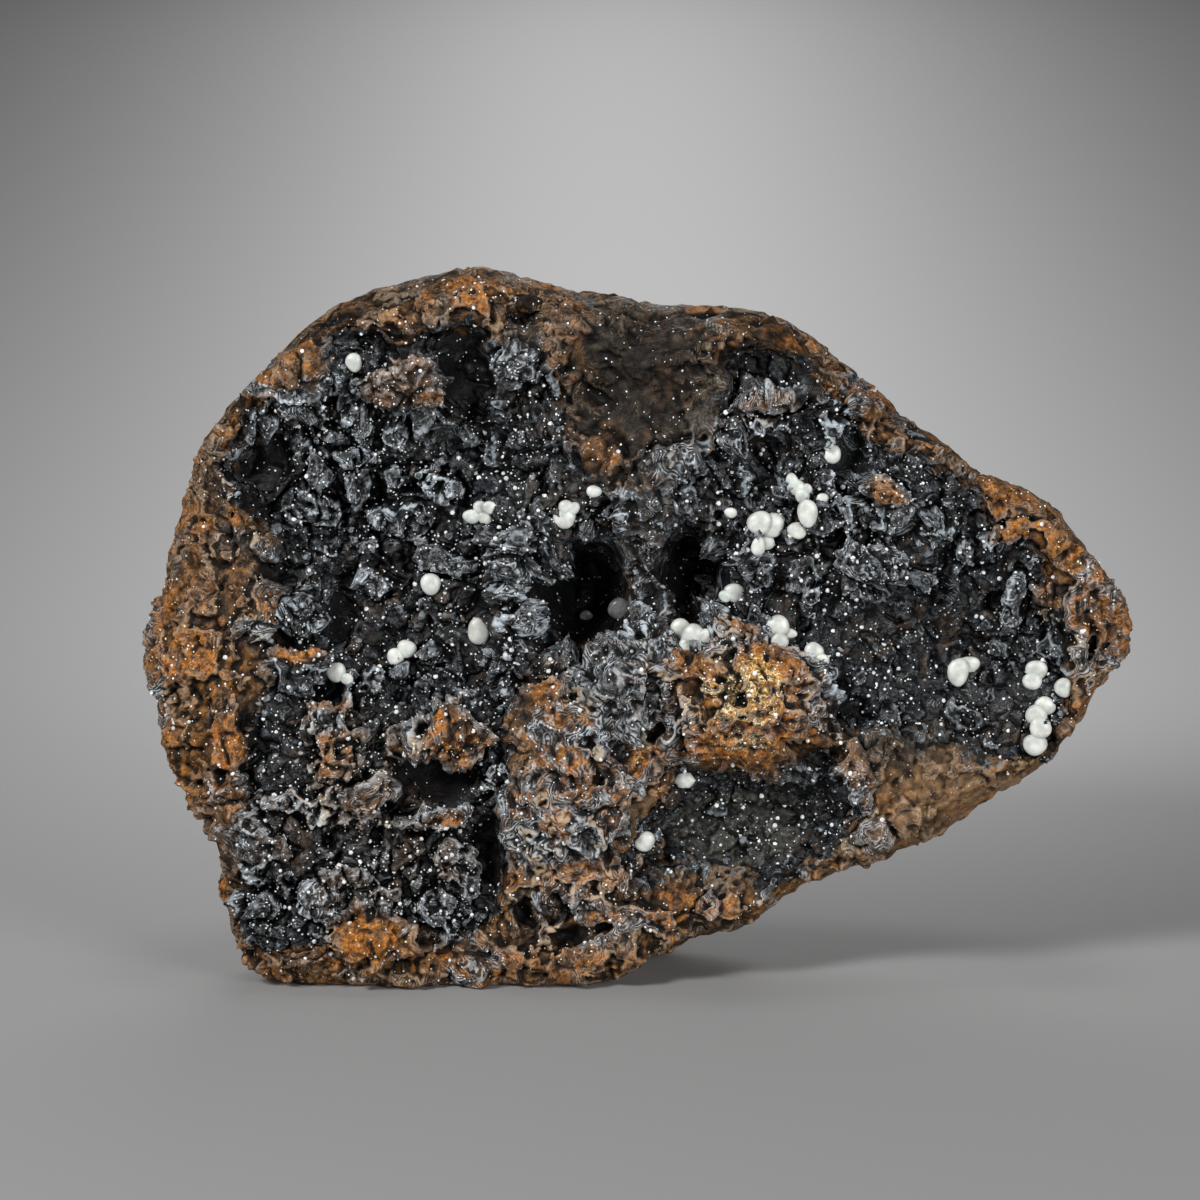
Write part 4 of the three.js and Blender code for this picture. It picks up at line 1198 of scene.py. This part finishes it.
def lump_places(tree, ground, stroke_share):
    """All that the colours depend on, as named sockets: stored numbers, noises, masks and fibres."""
    at = SimpleNamespace(where=object_place(tree), **{name: read_number(tree, name) for name in LUMP_NUMBERS})
    at.fine = noise(tree, at.where, 0.3 * MM, 4.0, 0.6)
    at.mottle = noise(tree, at.where, 1.2 * MM, 4.0, 0.6, 0.5)
    at.cloud = noise(tree, at.where, 8 * MM, 3.0, 0.5, 0.4)
    wide = noise(tree, at.where, 5 * MM, 3.0, 0.5, 0.15)
    stray = maths(tree, "MULTIPLY_ADD", maths(tree, "SUBTRACT", at.mottle, 0.5), 1.2, at.rim)
    stray = maths(tree, "MULTIPLY_ADD", maths(tree, "SUBTRACT", wide, 0.5), 1.8, stray)
    at.lined = maths(tree, "MAXIMUM", ramp(tree, stray, *ground), ramp(tree, at.silver, 0.5, 1.0, 0.0, 0.6))
    at.unlined = rest_of(tree, at.lined)
    at.plain = rest_of(tree, maths(tree, "MAXIMUM", at.calm, maths(tree, "MULTIPLY", at.grey, 0.8)))
    at.rusty = rusty_share(tree, at)
    at.foil = foil_share(tree, at, stroke_share)
    at.pale = pale_colour(tree, at)
    at.stroke = from_group(tree, STROKES, Phase=at.phase, Waver=0.5)
    at.hair = from_group(tree, HAIRS, Size=0.9 * MM, Width=0.036)
    return at


def lump_material(name, ground, stroke_share, painted_glint_share, roughness):
    """Crust or stone: ground says at which nearness to the lined parts the black crystal sets in."""
    material, tree, shader = new_material(name)
    at = lump_places(tree, ground, stroke_share)
    colour = ground_colour(tree, at)
    for layer in (with_fibres, with_painted_rim_highlights, with_painted_shade):
        colour = layer(tree, at, colour)
    colour = with_painted_glints(tree, at, colour, painted_glint_share)
    height = maths(tree, "MULTIPLY_ADD", at.stroke, times(tree, at.foil, 0.3), at.fine)
    bump = put(tree, "ShaderNodeBump", {"Strength": 0.7, "Distance": 0.12 * MM, "Height": height}).outputs[0]
    shine = ramp(tree, at.fine, 0.35, 0.65, *roughness)
    connect(tree, shader, Base_Color=colour, Normal=bump, Roughness=shine, Specular_IOR_Level=0.22)
    return material


def smooth_faces(mesh):
    """Lets light run over the faces of a mesh without creases."""
    mesh.polygons.foreach_set("use_smooth", [True] * len(mesh.polygons))


def dress(piece, material):
    """Gives a piece its one material."""
    piece.data.materials.clear()
    piece.data.materials.append(material)
    smooth_faces(piece.data)


CRUST_MATERIAL = lump_material("chalcophanite crust", (0.2, 0.4), 0.15, 0.08, (0.28, 0.6))
STONE_MATERIAL = lump_material("limonite stone", (0.42, 0.62), 0.1, 0.05, (0.5, 0.85))
dress(stone, STONE_MATERIAL)
print("materials:", CRUST_MATERIAL.name, "and", STONE_MATERIAL.name)

# %% [markdown]
# ## Tiny crystals
# The crust is dotted all over with white crystals a quarter of a millimetre across, and a few lie on the
# rust and silver of the stone. Placing thousands by hand is no use, and painted dots would have no shadow,
# so Geometry Nodes scatter very simple balls before the sheets are closed. Instances are made real, because
# only a plain mesh can be exported.

# %% Scattered grains
GRAIN_RADIUS = 0.142 * MM
GRAINS_PER_SQUARE_MM = {"crust": 0.38, "stone": 0.22}


def scatter_tree():
    """Small balls of random size on a surface, fewer where it is bare."""
    tree = geometry_tree("Scattered grains", ("Per Square Metre", "Radius"))
    tree.interface.new_socket("Material", in_out="INPUT", socket_type="NodeSocketMaterial")
    given = put(tree, "NodeGroupInput").outputs
    open_share = maths(tree, "SUBTRACT", 1.0, stored_number(tree, "bare"))
    density = maths(tree, "MULTIPLY", given["Per Square Metre"], open_share)
    inputs = {"Mesh": given["Geometry"], "Density": density, "Seed": 7}
    spread = put(tree, "GeometryNodeDistributePointsOnFaces", inputs, distribute_method="RANDOM")
    ball = put(tree, "GeometryNodeMeshIcoSphere", {"Radius": given["Radius"], "Subdivisions": 1}).outputs[0]
    size = put(tree, "FunctionNodeRandomValue", {2: 0.0, 3: 1.0, "Seed": 3}, data_type="FLOAT").outputs[1]
    size = maths(tree, "MULTIPLY_ADD", maths(tree, "POWER", size, 6.0), 1.6, 0.7)
    inputs = {"Points": spread.outputs["Points"], "Rotation": spread.outputs["Rotation"]}
    inputs |= {"Instance": ball, "Scale": size}
    instances = put(tree, "GeometryNodeInstanceOnPoints", inputs).outputs[0]
    realized = put(tree, "GeometryNodeRealizeInstances", {"Geometry": instances}).outputs[0]
    inputs = {"Geometry": realized, "Material": given["Material"]}
    put(tree, "NodeGroupOutput", {"Geometry": put(tree, "GeometryNodeSetMaterial", inputs).outputs[0]})
    return tree


def tiny_crystal():
    """Nearly white, a little glossy, with a slight difference from crystal to crystal."""
    material, tree, shader = new_material("tiny white crystal")
    mottle = noise(tree, object_place(tree), 1.5 * MM, 2.0, 0.5)
    colour = colour_ramp(tree, mottle, [(0.35, (0.6, 0.62, 0.62)), (0.55, (0.92, 0.93, 0.92))])
    connect(tree, shader, Base_Color=colour, Roughness=0.3)
    return material


SCATTER = scatter_tree()
GRAIN_MATERIAL = tiny_crystal()


def scatter_grains(name, piece, bare, per_square_mm):
    """Tiny crystals over a piece, none of them where it is bare."""
    grains = bpy.data.objects.new(name, piece.data.copy())
    bpy.context.scene.collection.objects.link(grains)
    store_numbers(grains.data, "bare", bare)
    values = {"Per Square Metre": per_square_mm / MM**2, "Radius": GRAIN_RADIUS, "Material": GRAIN_MATERIAL}
    apply_tree(grains, SCATTER, values)
    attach(grains, "root")
    print(name, "faces:", len(grains.data.polygons))


for crust in crust_pieces:
    inside, black = numbers_of(crust.data, "inside"), numbers_of(crust.data, "black")
    bare = np.maximum(np.clip(black * 1.1 - 0.2, 0, 1), inside < 0.5)
    scatter_grains(crust.name.replace("crust", "grains"), crust, bare, GRAINS_PER_SQUARE_MM["crust"])
placed_on_front = np.clip(numbers_of(stone.data, "rust") + numbers_of(stone.data, "silver"), 0, 1)
scatter_grains("grains_on_stone_fine", stone, 1 - placed_on_front, GRAINS_PER_SQUARE_MM["stone"])

# %% [markdown]
# ## Closing the sheets
# A sheet without a back is a skin of no thickness, which no printer or game engine can use. With the grains
# placed, each sheet gets its walls and its flat back, both hidden inside the stone, and takes over from its
# node.

# %% Close the crusts
for crust, name in zip(crust_pieces, CRUSTS):
    close_behind(crust)
    dress(crust, CRUST_MATERIAL)
    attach(crust, "root")
    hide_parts(name)

# %% [markdown]
# ## Bead materials
# The beads are small clusters of a soft white mineral with a waxy shine. A little light scatters inside
# them, and a gentle mottle keeps them from looking like plastic. The two beads down in the deep pit are
# grey and half clear, and they get a darker opaque colour, which paints the pit's shade on them.

# %% Bead materials
CREAM = [(0.35, (0.44, 0.46, 0.43)), (0.5, (0.56, 0.58, 0.54)), (0.65, (0.7, 0.715, 0.67))]
# The pit beads' colours: grey, made darker to paint the pit's shade on them.
SMOKE_AND_SHADE = [(0.3, (0.1, 0.1, 0.1)), (0.7, (0.3, 0.3, 0.29))]


def waxy_white():
    """White with a soft shine and a little light inside."""
    material, tree, shader = new_material("waxy white bead")
    colour = colour_ramp(tree, noise(tree, object_place(tree), 1.2 * MM, 3.0, 0.5), CREAM)
    connect(tree, shader, Base_Color=colour, Roughness=0.35)
    connect(tree, shader, Subsurface_Weight=0.25, Subsurface_Scale=0.4 * MM)
    return material


def smoky_shaded_white():
    """Grey and glossier, for the two beads in the deep pit, and darker, which paints the pit's shade on them.
    """
    material, tree, shader = new_material("smoky shaded bead")
    colour = colour_ramp(tree, noise(tree, object_place(tree), 0.6 * MM, 3.0, 0.55), SMOKE_AND_SHADE)
    connect(tree, shader, Base_Color=colour, Roughness=0.3)
    return material


BEAD_MATERIAL = waxy_white()
SMOKY_SHADED_MATERIAL = smoky_shaded_white()
print("bead materials:", BEAD_MATERIAL.name, "and", SMOKY_SHADED_MATERIAL.name)

# %% [markdown]
# ## Beads
# Each bead is a flattened ball of small crystals, and touching beads form a cluster. Simple balls with an
# uneven rim are enough at two millimetres. A cluster's balls are made as one piece in place of the
# cluster's solid, a little sunk in the surface that carries them, which is found by shooting rays along the
# line of sight.

# %% Beads
BEADS = {
    "bead_below_top_rim": [(358, 364, 8, 9)],
    "beads_four_small": [(473, 516, 8, 7), (482, 509, 7, 7), (486, 517, 7, 7), (491, 508, 7, 6)],
    "bead_on_tongue": [(594, 491, 7, 6)],
    "beads_above_deep_pit": [(565, 518, 11, 10), (566, 507, 7, 7), (574, 508, 6, 6)],
    "bead_left_middle": [(432, 583, 10, 10)],
    "beads_on_ridge": [(543, 581, 8, 7), (550, 585, 7, 6)],
    "bead_beside_ridge": [(479, 631, 10, 13)],
    "beads_by_left_ledge": [(338, 671, 9, 10), (349, 678, 6, 6)],
    "beads_left_pair": [(397, 656, 8, 9), (408, 648, 9, 9)],
    "beads_right_chain_top": [(789, 480, 6, 8), (793, 488, 9, 8), (799, 496, 7, 7), (804, 490, 5, 5)],
    "beads_right_notch": [(829, 456, 8, 9), (825, 449, 5, 5)],
    "beads_right_great_pair": [(757, 522, 12, 11), (769, 526, 12, 12)],
    "beads_right_below_pair": [(756, 546, 7, 9), (764, 543, 8, 7)],
    "beads_right_tilted_pair": [(804, 515, 10, 13), (794, 530, 9, 8)],
    "bead_right_small_round": [(819, 499, 6, 5)],
    "bead_right_small_left": [(729, 512, 6, 5)],
    "beads_beside_right_pit": [(680, 629, 12, 12), (692, 633, 12, 12), (687, 645, 10, 9), (704, 634, 8, 8)],
    "beads_above_golden_mound": [(733, 591, 10, 9), (724, 592, 6, 6)],
    "bead_in_deep_pit": [(619, 607, 11, 10)],
    "bead_small_in_deep_pit": [(586, 613, 6, 5)],
    "beads_over_golden_mound": [(775, 624, 11, 11), (777, 638, 8, 8), (786, 632, 8, 5)],
    "beads_right_of_mound": [(811, 651, 10, 10), (819, 658, 7, 7)],
    "beads_right_basin_pair": [(956, 671, 10, 14), (967, 663, 10, 8)],
    "beads_right_edge_top": [(1033, 669, 10, 10), (1029, 680, 9, 9)],
    "bead_right_edge": [(1059, 686, 9, 9)],
    "beads_right_edge_chain": [
        (1041, 704, 10, 9), (1032, 713, 10, 10), (1036, 727, 10, 11), (1031, 742, 11, 11),
    ],  # fmt: skip
    "bead_six_sided": [(684, 778, 10, 8)],
    "bead_lower_pocket": [(644, 838, 10, 10)],
}
BEAD_GROWTH = 1.06
BEAD_THICKNESS = 0.5
BEAD_SUNK = 0.25
IN_FRONT = -80 * MM
surface = tree_over(piece.data for piece in (stone, *crust_pieces))


def seat(px, py, half_width, half_height):
    """Where the surface carries a bead: the mean of the foremost points under it."""
    hits = []
    for across, down in ((0, 0), (0.6, 0), (-0.6, 0), (0, 0.6), (0, -0.6)):
        start = place(px + across * half_width, py + down * half_height, IN_FRONT)
        hits.append(surface.ray_cast(start, SIGHT)[0])
    middle = hits[0]
    foremost = sorted(hit.y for hit in hits if hit)[:2]
    return middle, sum(foremost) / len(foremost)


def make_bead(bm, middle, half_width, thick, half_height, six_sided):
    """A flattened ball with a slightly uneven rim, or with six blunt corners."""
    made = bmesh.ops.create_icosphere(bm, subdivisions=3, radius=1)["verts"]
    for v in made:
        angle = math.atan2(v.co.z, v.co.x)
        if six_sided:
            rim = 0.92 / math.cos((angle % (math.pi / 3)) - math.pi / 6)
        else:
            rim = 1 + 0.05 * math.sin(2 * angle + 900 * middle.x)
            rim += 0.04 * math.sin(3 * angle + 700 * middle.z)
        flat = math.copysign(abs(v.co.y) ** 0.75, v.co.y)
        v.co = Vector((v.co.x * rim * half_width, flat * thick, v.co.z * rim * half_height)) + middle


def make_beads(name, balls):
    """One cluster in place of its node, kept within the node's depths."""
    low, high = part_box(name)
    bm = bmesh.new()
    for px, py, half_width, half_height in balls:
        half_width, half_height = half_width * BEAD_GROWTH, half_height * BEAD_GROWTH
        middle, front = seat(px, py, half_width, half_height)
        thick = BEAD_THICKNESS * min(half_width, half_height) * PIXEL
        depth = min(max(front - BEAD_SUNK * thick, low.y + thick), high.y + thick)
        centre = Vector((middle.x, depth, middle.z))
        make_bead(bm, centre, half_width * PIXEL, thick, half_height * PIXEL, name == "bead_six_sided")
    bead = new_piece(name + "_fine", [], [])
    bm.to_mesh(bead.data)
    bm.free()
    dress(bead, SMOKY_SHADED_MATERIAL if name.endswith("in_deep_pit") else BEAD_MATERIAL)
    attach(bead, "root")
    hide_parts(name)


for name, balls in BEADS.items():
    make_beads(name, balls)
print("bead clusters:", len(BEADS))

# %% [markdown]
# ## Studio
# The specimen stands on a plain floor without a wall, so that it can be looked at from every side. A small
# key light from the upper left gives the crystals their sparkle and their shadows, and a wider fill light
# opens the shadows on the right. A spot from above makes the pool of light on the floor, and a long strip
# lights the floor behind, which the camera sees as the background.

# %% Floor and lights
FLOOR_REACH = 4.0
FLOOR_GREY = 0.34


def level_floor():
    """A plain square floor."""
    corners = [(-1, -1), (1, -1), (1, 1), (-1, 1)]
    floor = new_piece("floor", [(x * FLOOR_REACH, y * FLOOR_REACH, 0) for x, y in corners], [(0, 1, 2, 3)])
    material, tree, shader = new_material("pale paper")
    connect(tree, shader, Base_Color=(FLOOR_GREY, FLOOR_GREY, FLOOR_GREY, 1), Roughness=0.8)
    floor.data.materials.append(material)


def lamp(name, kind, place_at, aim, power):
    """A light of any kind that shines from one place towards another."""
    data = bpy.data.lights.new(name, kind)
    data.energy = power
    made = bpy.data.objects.new(name, data)
    made.location = place_at
    made.rotation_euler = (Vector(aim) - Vector(place_at)).to_track_quat("-Z", "Y").to_euler()
    bpy.context.scene.collection.objects.link(made)
    return data


level_floor()
lamp("key", "AREA", (-0.34, -0.44, 0.37), (0, 0, 0.04), 3.4).size = 0.16
lamp("fill", "AREA", (0.4, -0.6, 0.16), (0, 0, 0.04), 3.5).size = 0.3
pool = lamp("pool", "SPOT", (0.05, 0.0, 0.6), (0, 0.05, 0), 1.8)
pool.spot_size = math.radians(36)
pool.spot_blend = 1.0
pool.shadow_soft_size = 0.1
strip = lamp("strip", "AREA", (0, 0.65, 0.12), (0, 0.65, 0), 0.95)
strip.shape = "RECTANGLE"
strip.size = 0.04
strip.size_y = 1.1

world = bpy.data.worlds.new("studio air")
world.use_nodes = True
air = world.node_tree.nodes["Background"].inputs
air["Color"].default_value = (0.5, 0.5, 0.5, 1)
air["Strength"].default_value = 0.18
bpy.context.scene.world = world
print("lights:", [light.name for light in bpy.data.lights])

# %% [markdown]
# ## Camera
# The camera stands where the photograph was taken from. A long lens from nine tenths of a metre gives the
# flat view of a specimen picture, and its length follows from the width that the picture has to show.

# %% Camera
PICTURE_PX = 1200
PICTURE_MIDDLE = PICTURE_PX / 2
AIM_DEPTH = -3 * MM
SENSOR_WIDTH = 36
CAMERA_DISTANCE = 0.9
FRAME_WIDTH = PICTURE_PX * PIXEL
camera_data = bpy.data.cameras.new("camera")
camera_data.sensor_width = SENSOR_WIDTH
camera_data.lens = SENSOR_WIDTH * CAMERA_DISTANCE / FRAME_WIDTH
camera_data.clip_start = 0.01
camera = bpy.data.objects.new("camera", camera_data)
camera.location = place(PICTURE_MIDDLE, PICTURE_MIDDLE, AIM_DEPTH) - SIGHT * CAMERA_DISTANCE
camera.rotation_euler = SIGHT.to_track_quat("-Z", "Y").to_euler()
bpy.context.scene.collection.objects.link(camera)
bpy.context.scene.camera = camera
bpy.context.scene.view_settings.view_transform = "Standard"
print("lens:", round(camera_data.lens, 1), "mm")
